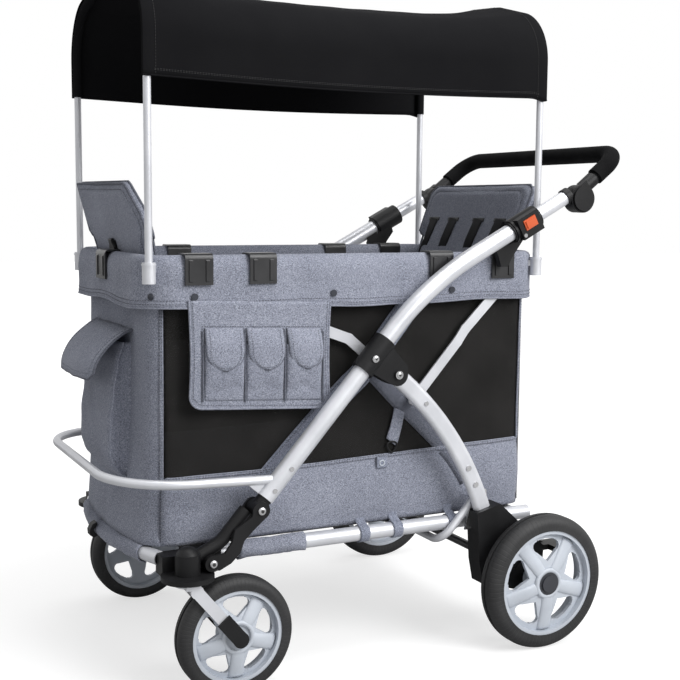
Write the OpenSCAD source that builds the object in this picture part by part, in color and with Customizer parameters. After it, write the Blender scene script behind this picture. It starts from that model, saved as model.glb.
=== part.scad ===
// Stroller wagon: a folding fabric tub on a tube frame with a roof and a push handle.
// Millimetres. X runs from the front (minus) to the push handle (plus), Y across, Z up, ground at zero.
// Every piece is drawn on the near side (minus Y) first and mirrored across the middle where there are two.

/* [Lower frame] */
// Height of the lower side rails above the ground
rail_z = 220; // [212:1:226]
// Distance of each lower rail from the middle
rail_y = 212; // [208:1:214]
// Outer diameter of the lower rails
rail_d = 25.4; // [22:0.2:26]
// Rear end of the lower rails
rail_rear_x = 298; // [280:1:310]
// How far the front cross tube bows ahead of its ends
front_bow = 36; // [20:1:50]
// Wall of all frame tubes
tube_wall = 1.6; // [1.2:0.1:2.2]

/* [Push arms] */
// Distance of each push arm from the middle
arm_y = 250; // [249:0.5:253]
// Outer diameter of the push arms
arm_d = 30; // [28:0.5:31]
// Lengthwise place of the fold pivot at the top of the front foot
pivot_x = -252; // [-256:1:-248]
// Height of the fold pivot
pivot_z = 296; // [292:1:300]
// Slope of the lower, straight part of the arm
arm_slope = 48.5; // [46:0.5:50]
// Length of the lower, straight part of the arm
arm_low_length = 346; // [335:1:360]
// Radius of the long bend in the arm
arm_bend_radius = 570; // [540:10:640]
// Angle of the long bend in the arm
arm_bend = 20.5; // [18:0.5:22]
// Length of the upper, straight part of the arm
arm_top_length = 120; // [112:1:126]

/* [Handle] */
// Outer diameter of the tubes that slide in the arms
slide_tube_d = 25; // [23:0.5:25.5]
// Length of slide tube that stays in the arm at rest
slide_inside = 78; // [70:1:85]
// Length of slide tube that shows at rest
slide_shows = 122; // [116:1:130]
// Upward angle of the handle bow from its knobs
handle_slope = 38; // [32:1:44]
// Reach of the handle bow from the knob centre to the cross grip
handle_reach = 122; // [112:1:130]
// Outer diameter of the foam grip
grip_d = 31; // [27:0.5:34]
// Diameter of the angle knobs
knob_d = 50; // [44:1:54]

/* [Wheels] */
// Rear wheel diameter
rear_wheel_d = 240; // [225:1:250]
// Rear tyre width
rear_tyre_w = 44; // [38:1:46]
// Distance of the rear wheels from the middle
rear_wheel_y = 303; // [301:1:310]
// Lengthwise place of the rear axle
rear_axle_x = 272; // [262:1:282]
// Front wheel diameter
front_wheel_d = 194; // [180:1:195]
// Front tyre width
front_tyre_w = 40; // [34:1:42]
// Lengthwise place of the caster pivot
caster_x = -372; // [-380:1:-371]
// Distance of the casters from the middle
caster_y = 258; // [256:1:262]
// How far each front wheel trails its caster pivot
caster_trail = 77; // [66:1:82]

/* [Tub and rim] */
// Lengthwise place of the front rim tube
rim_front_x = -412; // [-420:1:-406]
// Lengthwise place of the rear rim tube
rim_rear_x = 306; // [300:1:312]
// Distance of the side rim tubes from the middle
rim_y = 203; // [201:0.5:204]
// Height of the rim tube centre
rim_z = 688; // [670:1:700]
// Diameter of the rim tube
rim_d = 18; // [16:0.5:19]
// Top of the fixed tub walls
wall_top_z = 588; // [560:1:590]
// Lower edge of the mesh windows
window_z = 356; // [320:1:400]
// Width of the grey strips that cross on the mesh
cross_strip_w = 30; // [20:1:40]

/* [Roof] */
// Distance of the roof posts from the middle
post_y = 211; // [210:0.5:212]
// Diameter of the roof posts
post_d = 12; // [10:0.5:13]
// Height of the top of the roof hoops
hoop_top_z = 1147; // [1080:1:1200]
// Corner radius of the roof hoops
hoop_corner = 90; // [70:1:110]
// Height of the lower edge of the roof cloth
roof_edge_z = 972; // [940:1:990]
// How far the roof cloth sags between the hoops
roof_sag = 14; // [0:1:25]

/* [Soft pieces] */
// Width of the seat back pads
back_w = 366; // [320:1:370]
// Height of the seat back pads from hinge to top
back_h = 186; // [150:1:200]
// Thickness of the seat back pads at the crown
back_t = 20; // [16:1:22]
// Lean of the front seat back
front_lean = 15; // [10:1:16]
// Lean of the rear seat back
rear_lean = 22; // [10:1:24]
// Width of the front pocket
pocket_w = 184; // [160:1:220]
// Depth of the front pocket at its fullest
pocket_t = 44; // [36:1:50]

/* [Hidden] */
$fn = 64;
run_gap = 0.05;
sew_gap = 0.3;
eps = 0.01;
bolt_r = 5;
rivet_r = 5;
rivet_h = 2;
rear_r = rear_wheel_d / 2;
front_r = front_wheel_d / 2;
arm_r = arm_d / 2;
rail_r = rail_d / 2;
rim_r = rim_d / 2;
post_r = post_d / 2;
slide_r = slide_tube_d / 2;
grip_r = grip_d / 2;
knob_r = knob_d / 2;
rim_corner = 40;
handle_tube_r = 10;
handle_corner = 42;
hinge_side = 51;
axle_r = 8;
stub_r = 6;

// The arm path starts just above the fold pivot, on a line through it.
neck_length = 20;
arm_x0 = pivot_x + neck_length * cos(arm_slope);
arm_z0 = pivot_z + neck_length * sin(arm_slope);
foot_x = -334;
foot_z = 220;
bend_x = arm_x0 + arm_low_length * cos(arm_slope);
bend_z = arm_z0 + arm_low_length * sin(arm_slope);
top_slope = arm_slope - arm_bend;
chord = 2 * arm_bend_radius * sin(arm_bend / 2);
upper_x = bend_x + chord * cos(arm_slope - arm_bend / 2);
upper_z = bend_z + chord * sin(arm_slope - arm_bend / 2);
arm_end_x = upper_x + arm_top_length * cos(top_slope);
arm_end_z = upper_z + arm_top_length * sin(top_slope);
knob_drop = 16;
knob_x = arm_end_x + slide_shows * cos(top_slope) + knob_drop * sin(top_slope);
knob_z = arm_end_z + slide_shows * sin(top_slope) - knob_drop * cos(top_slope);

// The hinge block sits on the straight part, with the leg pivot hung below the arm.
block_at = 297;
block_x = arm_x0 + block_at * cos(arm_slope);
block_z = arm_z0 + block_at * sin(arm_slope);
leg_pivot_x = block_x + hinge_side * sin(arm_slope);
leg_pivot_z = block_z - hinge_side * cos(arm_slope);
strut_bolt_x = block_x + 12 * sin(arm_slope);
strut_bolt_z = block_z - 12 * cos(arm_slope);

// The rear leg is one long arc from its pivot to the axle housing.
leg_wide = 32;
leg_thick = 16;
leg_radius = 560;
leg_start = 38;
leg_turn = 34;
leg_chord = 2 * leg_radius * sin(leg_turn / 2);
leg_foot_x = leg_pivot_x + leg_chord * cos(leg_start + leg_turn / 2);
leg_foot_z = leg_pivot_z - leg_chord * sin(leg_start + leg_turn / 2);
leg_y = arm_y;
strut_pin_turn = 8.2;
strut_pin_x = leg_pivot_x + 2 * leg_radius * sin(strut_pin_turn / 2) * cos(leg_start + strut_pin_turn / 2);
strut_pin_z = leg_pivot_z - 2 * leg_radius * sin(strut_pin_turn / 2) * sin(leg_start + strut_pin_turn / 2);

// Layers across the near side, from the tub wall out to the arm.
wall_y = 201;
wall_t = 3;
strut_y = 214.4;
strut_t = 3.5;
strut_w = 18;
band_out_y = 222;
band_in_y = 190;
band_t = 2.5;
band_hem_z = 618;
skirt_hem_z = 560;
band_top_z = rim_z + rim_r + 3;
front_wall_x = rim_front_x + 5;
rear_wall_x = rim_rear_x - 5;
front_post_x = rim_front_x - 3;
rear_post_x = rim_rear_x + 3;

// Each seat back swings on a rod in its lower hem, held by cloth loops on the rim band's inner skirt.
hinge_z = 650;
pad_gap = 1.5;
function lean_reach(a) = back_t / 2 * cos(a) + (band_top_z - hinge_z + back_t / 2 * sin(a)) * tan(a);
front_hinge_x = rim_front_x + rim_y - band_in_y + lean_reach(front_lean) + pad_gap;
rear_hinge_x = rim_rear_x - rim_y + band_in_y - lean_reach(rear_lean) - pad_gap;
rod_r = 4;
loop_t = 2.2;
rod_room = rod_r + loop_t + 2;
loop_y = 148;
loop_half = 14;
hem_half = 120;

// Shared helpers

module both() {
    children();
    mirror([0, 1, 0]) children();
}

// A round bar across, from y0 to y1.
module bar_y(x, z, y0, y1, r) {
    translate([x, y0, z]) rotate([-90, 0, 0]) cylinder(h = y1 - y0, r = r);
}

// A flat plate that lies in the XZ plane between y0 and y1.
module plate(y0, y1) {
    translate([0, y1, 0]) rotate([90, 0, 0]) linear_extrude(height = y1 - y0) children();
}

// Tube sections
module ring(r, wall) {
    difference() {
        circle(r = r);
        circle(r = r - wall);
    }
}

// A flat oval section: w along the bend plane, t across it.
module oval(w, t) {
    square([w - t, t], center = true);
    translate([w / 2 - t / 2, 0]) circle(d = t);
    translate([t / 2 - w / 2, 0]) circle(d = t);
}

// Follows straights and bends in the local XY plane: steps of [length, bend radius, bend angle].
// The first child is the section, with its first axis in the bend plane.
// A second child, a hair larger, is the weld bead that joins one step to the next.
bead = 0.05;
bead_run = 1;
module bead_at() {
    translate([-bead_run / 2, 0, 0]) rotate([90, 0, 90]) linear_extrude(height = bead_run) children();
}
module bent(steps, i = 0) {
    if (i < len(steps)) {
        run = steps[i][0];
        radius = steps[i][1];
        turn = steps[i][2];
        side = turn < 0 ? -1 : 1;
        if (i > 0 && $children > 1) bead_at() children(1);
        if (run > 0) rotate([90, 0, 90]) linear_extrude(height = run) children(0);
        translate([run, 0, 0]) {
            if (run > 0 && turn != 0 && $children > 1) bead_at() children(1);
            if (turn != 0)
                mirror([0, side < 0 ? 1 : 0, 0]) translate([0, radius, 0]) rotate([0, 0, -90])
                    rotate_extrude(angle = abs(turn), $fn = 128) translate([radius, 0]) children(0);
            translate([radius * sin(abs(turn)), side * radius * (1 - cos(turn)), 0]) rotate([0, 0, turn])
                if ($children > 1) {
                    bent(steps, i + 1) {
                        children(0);
                        children(1);
                    }
                } else {
                    bent(steps, i + 1) children(0);
                }
        }
    }
}

// Puts a local XY path in the XZ plane at x, z, heading up by slope, at distance y.
module in_side_plane(x, y, z, slope) {
    translate([x, y, z]) rotate([90, 0, 0]) rotate([0, 0, slope]) children();
}

// Mesh helpers: a closed sheet between two grids of points, rows by columns.
function flat_list(g) = [for (row = g) for (p = row) p];
function quad(a, b, c, d) = [[a, b, c], [a, c, d]];
function sheet_faces(m, n) = let (k = m * n) concat(
    [for (i = [0 : m - 2]) for (j = [0 : n - 2])
        each quad(i * n + j, i * n + j + 1, (i + 1) * n + j + 1, (i + 1) * n + j)],
    [for (i = [0 : m - 2]) for (j = [0 : n - 2])
        each quad(k + i * n + j, k + (i + 1) * n + j, k + (i + 1) * n + j + 1, k + i * n + j + 1)],
    [for (i = [0 : m - 2]) each quad(i * n, (i + 1) * n, k + (i + 1) * n, k + i * n)],
    [for (i = [0 : m - 2]) each quad((i + 1) * n + n - 1, i * n + n - 1, k + i * n + n - 1, k + (i + 1) * n + n - 1)],
    [for (j = [0 : n - 2]) each quad(j + 1, j, k + j, k + j + 1)],
    [for (j = [0 : n - 2]) each quad((m - 1) * n + j, (m - 1) * n + j + 1, k + (m - 1) * n + j + 1, k + (m - 1) * n + j)]);
module sheet(front, back) {
    polyhedron(points = concat(flat_list(front), flat_list(back)), faces = sheet_faces(len(front), len(front[0])));
}

// A stuffed pad in the local XY plane, w by h, standing on z = 0 with a crown of t.
// Grooves run across at the listed heights (from -1 to 1) and down at the listed places.
pad_cols = 16;
pad_rows = 12;
function pad_x(u, v, w, c) = w / 2 * u * (1 - c * pow(abs(v), 6));
function pad_y(u, v, h, c) = h / 2 * v * (1 - c * pow(abs(u), 6));
function dent(v, places, width) = len(places) == 0 ? 0 : max([for (p = places) exp(-pow((v - p) / width, 2))]);
function pad_z(u, v, t, across, down) = t * (0.35 + 0.65 * (1 - pow(abs(u), 4)) * (1 - pow(abs(v), 4)))
    * (1 - 0.4 * dent(v, across, 0.09)) * (1 - 0.4 * dent(u, down, 0.06));
module soft_pad(w, h, t, corner, across = [], down = [], cols = pad_cols, rows = pad_rows) {
    front = [for (i = [0 : rows]) [for (j = [0 : cols])
        let (u = 2 * j / cols - 1, v = 2 * i / rows - 1)
        [pad_x(u, v, w, corner), pad_y(u, v, h, corner), pad_z(u, v, t, across, down)]]];
    back = [for (row = front) [for (p = row) [p[0], p[1], 0]]];
    sheet(back, front);
}

// Lower frame

module side_rails() {
    color("silver") both() {
        in_side_plane(foot_x + 22, -rail_y, rail_z, 0)
            bent([[rail_rear_x - foot_x - 22, 0, 0]]) ring(rail_r, tube_wall);
        translate([rail_rear_x, -rail_y, rail_z]) rotate([0, 90, 0]) cylinder(h = 4, r = rail_r);
    }
    color("silver")
        translate([rail_rear_x - 24, -rail_y + rail_r + 0.2, rail_z]) rotate([-90, 0, 0])
            linear_extrude(height = 2 * (rail_y - rail_r - 0.2)) ring(rail_r - 2, tube_wall);
}

// The front tube bows forward between the two feet.
bow_half = rail_y - 6;
bow_radius = (bow_half * bow_half + front_bow * front_bow) / (2 * front_bow);
bow_angle = 2 * asin(bow_half / bow_radius);
front_tube_x = -400;
module front_cross_tube() {
    color("silver")
        translate([front_tube_x, -bow_half, rail_z]) rotate([0, 0, 90 + bow_angle / 2]) mirror([0, 1, 0])
            bent([[0, bow_radius, bow_angle]]) ring(rail_r - 1, tube_wall);
}

// Each foot casting has a domed caster tower, a flange, a round neck up to the fold pivot and a lug for the rail.
flange_z = 197.5;
flange_t = 8;
dome_r = 20;
dome_top_z = 250;
lug_y = 236;
neck_r = 11;
neck_start_x = caster_x + 8;
neck_start_z = 224;
neck_rise = 26;
neck_low = 44;
neck_bend_radius = 60;
neck_bend = arm_slope - neck_rise;
neck_top = 52;
cheek_in_y = arm_y - 14;
cheek_out_y = arm_y + 14;
cover_t = 6;
pivot_head_r = 14.5;
module caster_housings() {
    color("black") both() difference() {
        union() {
            translate([caster_x, -caster_y, flange_z]) cylinder(h = dome_top_z - 12 - flange_z, r = dome_r);
            intersection() {
                translate([caster_x, -caster_y, dome_top_z - dome_r]) sphere(r = dome_r);
                translate([caster_x, -caster_y, dome_top_z - 12.5]) cylinder(h = 13, r = dome_r);
            }
            translate([caster_x, -caster_y, flange_z]) cylinder(h = flange_t, r = 42);
            translate([caster_x, -lug_y, flange_z]) cube([62, lug_y - rail_y + 16, flange_t]);
            translate([foot_x - 24, -lug_y, flange_z]) cube([50, lug_y - rail_y + 16, rail_z - flange_z + rail_r - 0.3]);
            translate([caster_x - 34, -lug_y, flange_z]) cube([50, lug_y - rail_y + 10, rail_z - flange_z + 10]);
            in_side_plane(neck_start_x, -arm_y, neck_start_z, neck_rise)
                bent([[neck_low, neck_bend_radius, neck_bend], [neck_top, 0, 0]]) {
                    circle(r = neck_r);
                    circle(r = neck_r + bead);
                }
            plate(-cheek_in_y, -cheek_in_y + cover_t) {
                polygon([[pivot_x - 12, pivot_z + 8], [pivot_x + 12, pivot_z - 8], [pivot_x - 34, pivot_z - 60],
                    [pivot_x - 52, pivot_z - 40]]);
                translate([pivot_x, pivot_z]) circle(r = pivot_head_r);
            }
            plate(-cheek_out_y, -cheek_in_y + 1) polygon([[pivot_x - 40, pivot_z - 26], [pivot_x - 26, pivot_z - 42],
                [pivot_x - 36, pivot_z - 54], [pivot_x - 50, pivot_z - 38]]);
            bar_y(foot_x, foot_z, -cheek_out_y, -rail_y + 16, 13);
        }
        bar_y(pivot_x, pivot_z, -arm_y - 40, -arm_y + 40, bolt_r + run_gap);
        bar_y(pivot_x, pivot_z, -arm_y - knuckle_half - 0.2, -arm_y + knuckle_half + 0.2, pivot_head_r - 0.5);
        bar_y(foot_x, foot_z, -cheek_out_y - 1, -rail_y + 20, bolt_r + run_gap);
        translate([caster_x, -caster_y, flange_z - 1]) cylinder(h = 42, r = 9 + run_gap);
        translate([foot_x + 21.5, -rail_y, rail_z]) rotate([0, 90, 0]) cylinder(h = 10, r = rail_r + run_gap);
        translate([front_tube_x, -bow_half, rail_z]) rotate([0, 0, 90 + bow_angle / 2]) mirror([0, 1, 0])
            bent([[0, bow_radius, 14]]) circle(r = rail_r - 1 + run_gap);
    }
}

// A flat cover with an S outline links the two bolts on the outer face of each foot.
module foot_covers() {
    color("black") both() difference() {
        plate(-cheek_out_y - cover_t, -cheek_out_y) {
            polygon([[foot_x - 9, foot_z - 9], [foot_x + 11, foot_z - 12], [foot_x + 30, foot_z - 3],
                [foot_x + 46, foot_z + 12], [foot_x + 52, foot_z + 30], [foot_x + 66, foot_z + 44],
                [pivot_x + 10, pivot_z - 10], [pivot_x - 11, pivot_z + 9], [pivot_x - 16, pivot_z - 8],
                [foot_x + 37, foot_z + 50], [foot_x + 32, foot_z + 30], [foot_x + 20, foot_z + 14],
                [foot_x, foot_z + 13]]);
            translate([foot_x, foot_z]) circle(r = 13);
            translate([pivot_x, pivot_z]) circle(r = pivot_head_r);
        }
        bar_y(pivot_x, pivot_z, -arm_y - 40, -arm_y + 40, bolt_r + run_gap);
        bar_y(foot_x, foot_z, -arm_y - 40, -arm_y + 40, bolt_r + run_gap);
    }
}

board_z = rail_z + rail_r + sew_gap;
board_t = 7;
wall_bottom_z = board_z + board_t + sew_gap;
board_in = 6;
module floor_board() {
    color("dimgray") translate([0, 0, board_z]) linear_extrude(height = board_t)
        polygon([[front_wall_x + board_in, -wall_y + corner_r], [front_wall_x + corner_r, -wall_y + 1],
            [rear_wall_x - corner_r, -wall_y + 1], [rear_wall_x - board_in, -wall_y + corner_r],
            [rear_wall_x - board_in, wall_y - corner_r], [rear_wall_x - corner_r, wall_y - 1],
            [front_wall_x + corner_r, wall_y - 1], [front_wall_x + board_in, wall_y - corner_r]]);
}

// The end walls wrap round the corners of the tub, and the side walls are sewn to them past the bend.
corner_r = 42;
column_w = 15;
side_x0 = front_wall_x + corner_r + sew_gap;
side_x1 = rear_wall_x - corner_r - sew_gap;
module tub_sides() {
    color("slategray") both() {
        translate([side_x0, -wall_y, wall_bottom_z]) cube([side_x1 - side_x0, wall_t, window_z - wall_bottom_z]);
        translate([side_x0, -wall_y, window_z]) cube([column_w, wall_t, wall_top_z - window_z]);
        translate([side_x1 - column_w, -wall_y, window_z]) cube([column_w, wall_t, wall_top_z - window_z]);
    }
}

module tub_mesh() {
    color("black") both()
        translate([side_x0 + column_w, -wall_y + 0.5, window_z])
            cube([side_x1 - side_x0 - 2 * column_w, wall_t - 1, wall_top_z - window_z]);
}

module wall_corner() {
    rotate_extrude(angle = 90, $fn = 64) translate([corner_r - wall_t, 0]) square([wall_t, wall_top_z - wall_bottom_z]);
}
module end_wall() {
    flat_y = wall_y - corner_r;
    translate([0, -flat_y, 0]) cube([wall_t, 2 * flat_y, wall_top_z - wall_bottom_z]);
    translate([corner_r, -flat_y, 0]) rotate([0, 0, 180]) wall_corner();
    translate([corner_r, flat_y, 0]) rotate([0, 0, 90]) wall_corner();
}
module tub_ends() {
    color("slategray") {
        translate([front_wall_x, 0, wall_bottom_z]) end_wall();
        translate([rear_wall_x, 0, wall_bottom_z]) mirror([1, 0, 0]) end_wall();
    }
}

// Two grey strips are sewn across each mesh window as a wide X.
strip_t = 1.5;
strip_mid_x = -40;
strip_mid_z = 505;
module strip(x0, z0, x1, z1) {
    run = sqrt(pow(x1 - x0, 2) + pow(z1 - z0, 2));
    in_side_plane(x0, -wall_y - strip_t / 2, z0, atan2(z1 - z0, x1 - x0))
        translate([0, -cross_strip_w / 2, -strip_t / 2]) cube([run, cross_strip_w, strip_t]);
}
module cross_strips() {
    color("slategray") both() intersection() {
        union() {
            strip(-190, window_z - 40, 60, wall_top_z + 60);
            strip(-120, wall_top_z + 60, 150, window_z - 40);
        }
        translate([side_x0 + column_w, -wall_y - 4, window_z]) cube([side_x1 - side_x0 - 30, 8, wall_top_z - window_z]);
    }
}

// The tub hem is sewn round the front part of each rail and round the bowed front tube.
sleeve_t = 2.5;
sleeve_gap = 0.4;
sleeve_x0 = foot_x + 34;
sleeve_run = 120;
module rail_sleeves() {
    color("slategray") {
        both() translate([sleeve_x0, -rail_y, rail_z]) rotate([0, 90, 0])
            linear_extrude(height = sleeve_run) ring(rail_r + sleeve_gap + sleeve_t, sleeve_t);
        translate([front_tube_x, -bow_half, rail_z]) rotate([0, 0, 90 + bow_angle / 2]) mirror([0, 1, 0])
            translate([0, bow_radius, 0]) rotate([0, 0, -90 + 8])
                rotate_extrude(angle = bow_angle - 16, $fn = 128) translate([bow_radius, 0])
                    ring(rail_r - 1 + sleeve_gap + sleeve_t, sleeve_t);
    }
}

// The front pocket bellies out below a flap that flares over it.
pocket_bottom_z = 326;
pocket_top_z = 566;
flap_drop = 78;
flap_flare = 76;
flap_t = 5;
module front_pocket() {
    color("slategray") {
        translate([front_wall_x - sew_gap, 0, (pocket_bottom_z + pocket_top_z - 16) / 2]) rotate([90, 0, -90])
            soft_pad(pocket_w, pocket_top_z - 16 - pocket_bottom_z, pocket_t, 0.06);
        front = [for (i = [0 : 6]) [for (j = [0 : 10])
            let (s = i / 6, u = j / 5 - 1)
            [front_wall_x - sew_gap - flap_flare * sin(90 * s) * (1 - 0.18 * pow(abs(u), 3)) - flap_t - 5 * s,
                u * (pocket_w / 2 + 12), pocket_top_z + 6 - flap_drop * pow(s, 1.25)]]];
        back = [for (row = front) [for (p = row) [p[0] + flap_t, p[1], p[2]]]];
        sheet(back, front);
    }
}

// Two plain bench cushions lie on the floor, one at each end.
seat_t = 38;
seat_len = 250;
module seat_cushions() {
    color("gray") for (x = [front_wall_x + 22 + seat_len / 2, rear_wall_x - 22 - seat_len / 2])
        translate([x, 0, board_z + board_t + sew_gap])
            soft_pad(seat_len, 2 * wall_y - 40, seat_t, 0.04, across = [-0.33, 0.33]);
}

// Fold bolts and foot bolts
module frame_bolts() {
    color("gainsboro") both() {
        bar_y(pivot_x, pivot_z, -cheek_out_y - cover_t, -cheek_in_y + cover_t, bolt_r);
        rivet(pivot_x, pivot_z, cheek_out_y + cover_t, 6.5, 2.5);
        bar_y(foot_x, foot_z, -cheek_out_y - cover_t, -rail_y + 16, bolt_r);
        rivet(foot_x, foot_z, cheek_out_y + cover_t, 6.5, 2.5);
    }
}

// Push arms

module push_arms() {
    color("silver") both() {
        in_side_plane(arm_x0, -arm_y, arm_z0, arm_slope)
            bent([[arm_low_length, arm_bend_radius, -arm_bend], [arm_top_length, 0, 0]]) {
                ring(arm_r, arm_r - slide_r - run_gap);
                ring(arm_r + bead, arm_r - slide_r - run_gap + 2 * bead);
            }
    }
}

// Black knuckles close the arm ends and turn on the fold bolts.
knuckle_half = 13.5;
module arm_feet() {
    color("black") both() difference() {
        union() {
            bar_y(pivot_x, pivot_z, -arm_y - knuckle_half, -arm_y + knuckle_half, pivot_head_r - 1);
            in_side_plane(pivot_x, -arm_y, pivot_z, arm_slope) rotate([0, 90, 0])
                cylinder(h = neck_length - 0.1, r = knuckle_half - 0.7);
            in_side_plane(pivot_x, -arm_y, pivot_z, arm_slope) rotate([0, 90, 0])
                cylinder(h = neck_length + 24, r = slide_r - 0.2);
        }
        bar_y(pivot_x, pivot_z, -arm_y - 20, -arm_y + 20, bolt_r + run_gap);
    }
}

// The hinge block grips the arm and carries the leg between two cheeks.
cheek_t = 6;
block_wall = 5;
cheek_gap = 1;
cheek_y = leg_thick / 2 + cheek_gap;
module cheek_outline() {
    polygon([[-32, 6], [30, 6], [22, -hinge_side - 6], [8, -hinge_side - 17], [-10, -hinge_side - 17],
        [-20, -hinge_side]]);
    translate([0, -hinge_side]) circle(r = 19);
}
module hinge_blocks() {
    color("black") both() in_side_plane(block_x, -arm_y, block_z, arm_slope) difference() {
        union() {
            translate([-34, 0, 0]) rotate([0, 90, 0]) cylinder(h = 66, r = arm_r + block_wall);
            translate([0, 0, cheek_y]) linear_extrude(height = cheek_t) cheek_outline();
            translate([0, 0, -cheek_y - cheek_t]) linear_extrude(height = cheek_t) cheek_outline();
        }
        translate([-40, 0, 0]) rotate([0, 90, 0]) cylinder(h = 80, r = arm_r + run_gap);
        translate([0, -hinge_side, -30]) cylinder(h = 60, r = bolt_r + run_gap);
    }
}

// The collar at the top of each arm guides the slide tube and carries the release button.
collar_r = 21;
collar_len = 58;
collar_before = 34;
collar_at = arm_top_length - collar_before;
button_w = 26;
button_h = 18;
button_up = 3.5;
button_travel = 3;
button_gap = 0.4;
module collar_frame() {
    in_side_plane(upper_x, -arm_y, upper_z, top_slope) translate([collar_at, 0, 0]) children();
}
module arm_collars() {
    color("black") both() collar_frame() difference() {
        union() {
            rotate([0, 90, 0]) cylinder(h = collar_len, r = collar_r);
            translate([6, -collar_r + 2, 0]) cube([collar_len - 12, 2 * collar_r - 4, collar_r + 3]);
            translate([-3, 0, 0]) rotate([0, 90, 0]) cylinder(h = 6, r = collar_r - 2);
        }
        translate([-8, 0, 0]) rotate([0, 90, 0]) cylinder(h = collar_before + 8.3, r = arm_r + run_gap);
        translate([30, 0, 0]) rotate([0, 90, 0]) cylinder(h = 60, r = slide_r + run_gap);
        translate([collar_len / 2 - button_w / 2 - button_gap, button_up - button_h / 2 - button_gap, arm_r + 2])
            cube([button_w + 2 * button_gap, button_h + 2 * button_gap, 20]);
    }
}

// A wedge below each collar reaches down beside the rim.
bracket_y0 = arm_y - 6;
bracket_y1 = arm_y - 18;
bracket_foot_z = min(rim_z, arm_end_z - 75);
module rim_brackets() {
    color("black") both() difference() {
        plate(-bracket_y0, -bracket_y1) {
            polygon([[arm_end_x - 62, arm_end_z - 34], [arm_end_x - 4, arm_end_z - 4], [arm_end_x + 4, arm_end_z - 26],
                [arm_end_x - 22, bracket_foot_z + 14], [arm_end_x - 30, bracket_foot_z - 2],
                [arm_end_x - 44, bracket_foot_z - 2], [arm_end_x - 50, bracket_foot_z + 16]]);
        }
        collar_frame() translate([-10, 0, 0]) rotate([0, 90, 0]) cylinder(h = collar_len + 20, r = collar_r + run_gap);
        in_side_plane(upper_x, -arm_y, upper_z, top_slope) translate([-40, 0, 0]) rotate([0, 90, 0])
            cylinder(h = 220, r = arm_r + 4);
        collar_frame() translate([5.9, -collar_r + 1.9, 0]) cube([collar_len - 11.8, 2 * collar_r - 3.8, collar_r + 4]);
    }
}

// Rivet heads on the arms, the feet and the hinge blocks
module rivet(x, z, y, r = rivet_r, h = rivet_h) {
    bar_y(x, z, -y - h, -y, r);
}
collar_rivet_x = 10.5;
collar_rivet_down = 12;
module arm_rivets() {
    color("gainsboro") both() {
        difference() {
            for (s = [38, 82])
                rivet(pivot_x + s * cos(arm_slope), pivot_z + s * sin(arm_slope), arm_y + arm_r - 1, 4, 2);
            in_side_plane(pivot_x, -arm_y, pivot_z, arm_slope) rotate([0, 90, 0])
                cylinder(h = 140, r = arm_r + run_gap);
        }
        bar_y(leg_pivot_x, leg_pivot_z, -arm_y - cheek_y - cheek_t - 3, -strut_y - strut_t - 2, bolt_r);
        rivet(leg_pivot_x, leg_pivot_z, arm_y + cheek_y + cheek_t + 3, 7, 2);
        rivet(block_x - 8, block_z - 4, arm_y + arm_r + block_wall, 6, 2);
        difference() {
            bar_y(strut_bolt_x, strut_bolt_z, -arm_y + cheek_y + cheek_t, -strut_y + strut_t / 2 + 1, bolt_r - 1);
            in_side_plane(block_x, -arm_y, block_z, arm_slope) translate([-40, 0, 0]) rotate([0, 90, 0])
                cylinder(h = 80, r = arm_r + block_wall + run_gap);
        }
        collar_frame() translate([collar_rivet_x, -collar_rivet_down, collar_r + 3]) cylinder(h = 1, r = 3.5);
    }
}

// Bumper bar: a level bow from arm to arm ahead of the tub, welded on with a gusset below.
bumper_r = 7.5;
bumper_z = pivot_z + 44;
bumper_x = pivot_x + 44 / tan(arm_slope);
bumper_front_x = -480;
bumper_corner = 120;
bumper_rise = 2;
bumper_run = (bumper_x - bumper_front_x) / cos(bumper_rise) - bumper_corner;
module bumper_bar() {
    color("silver") difference() {
        union() {
            translate([bumper_x, -arm_y, bumper_z]) rotate([0, bumper_rise, 0]) rotate([0, 0, 180])
                bent([[bumper_run, bumper_corner, -90], [2 * (arm_y - bumper_corner), bumper_corner, -90],
                    [bumper_run, 0, 0]]) circle(r = bumper_r);
            both() plate(-arm_y - 2, -arm_y + 2) polygon([[bumper_x - 62, bumper_z + 2], [bumper_x - 8, bumper_z],
                [bumper_x - 26, bumper_z - 30], [bumper_x - 32, bumper_z - 24]]);
        }
        both() in_side_plane(arm_x0, -arm_y, arm_z0, arm_slope) translate([-60, 0, 0]) rotate([0, 90, 0])
            cylinder(h = 160, r = arm_r + run_gap);
    }
}

// Rear legs

module rear_legs() {
    color("silver") both() difference() {
        union() {
            in_side_plane(leg_pivot_x, -leg_y, leg_pivot_z, -leg_start)
                bent([[0, leg_radius, -leg_turn]]) oval(leg_wide, leg_thick);
            bar_y(leg_pivot_x, leg_pivot_z, -leg_y - leg_thick / 2, -leg_y + leg_thick / 2, leg_wide / 2);
        }
        bar_y(leg_pivot_x, leg_pivot_z, -leg_y - 20, -leg_y + 20, bolt_r + run_gap);
        bar_y(strut_pin_x, strut_pin_z, -leg_y - 20, -leg_y + 20, 4 + run_gap);
    }
}

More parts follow.
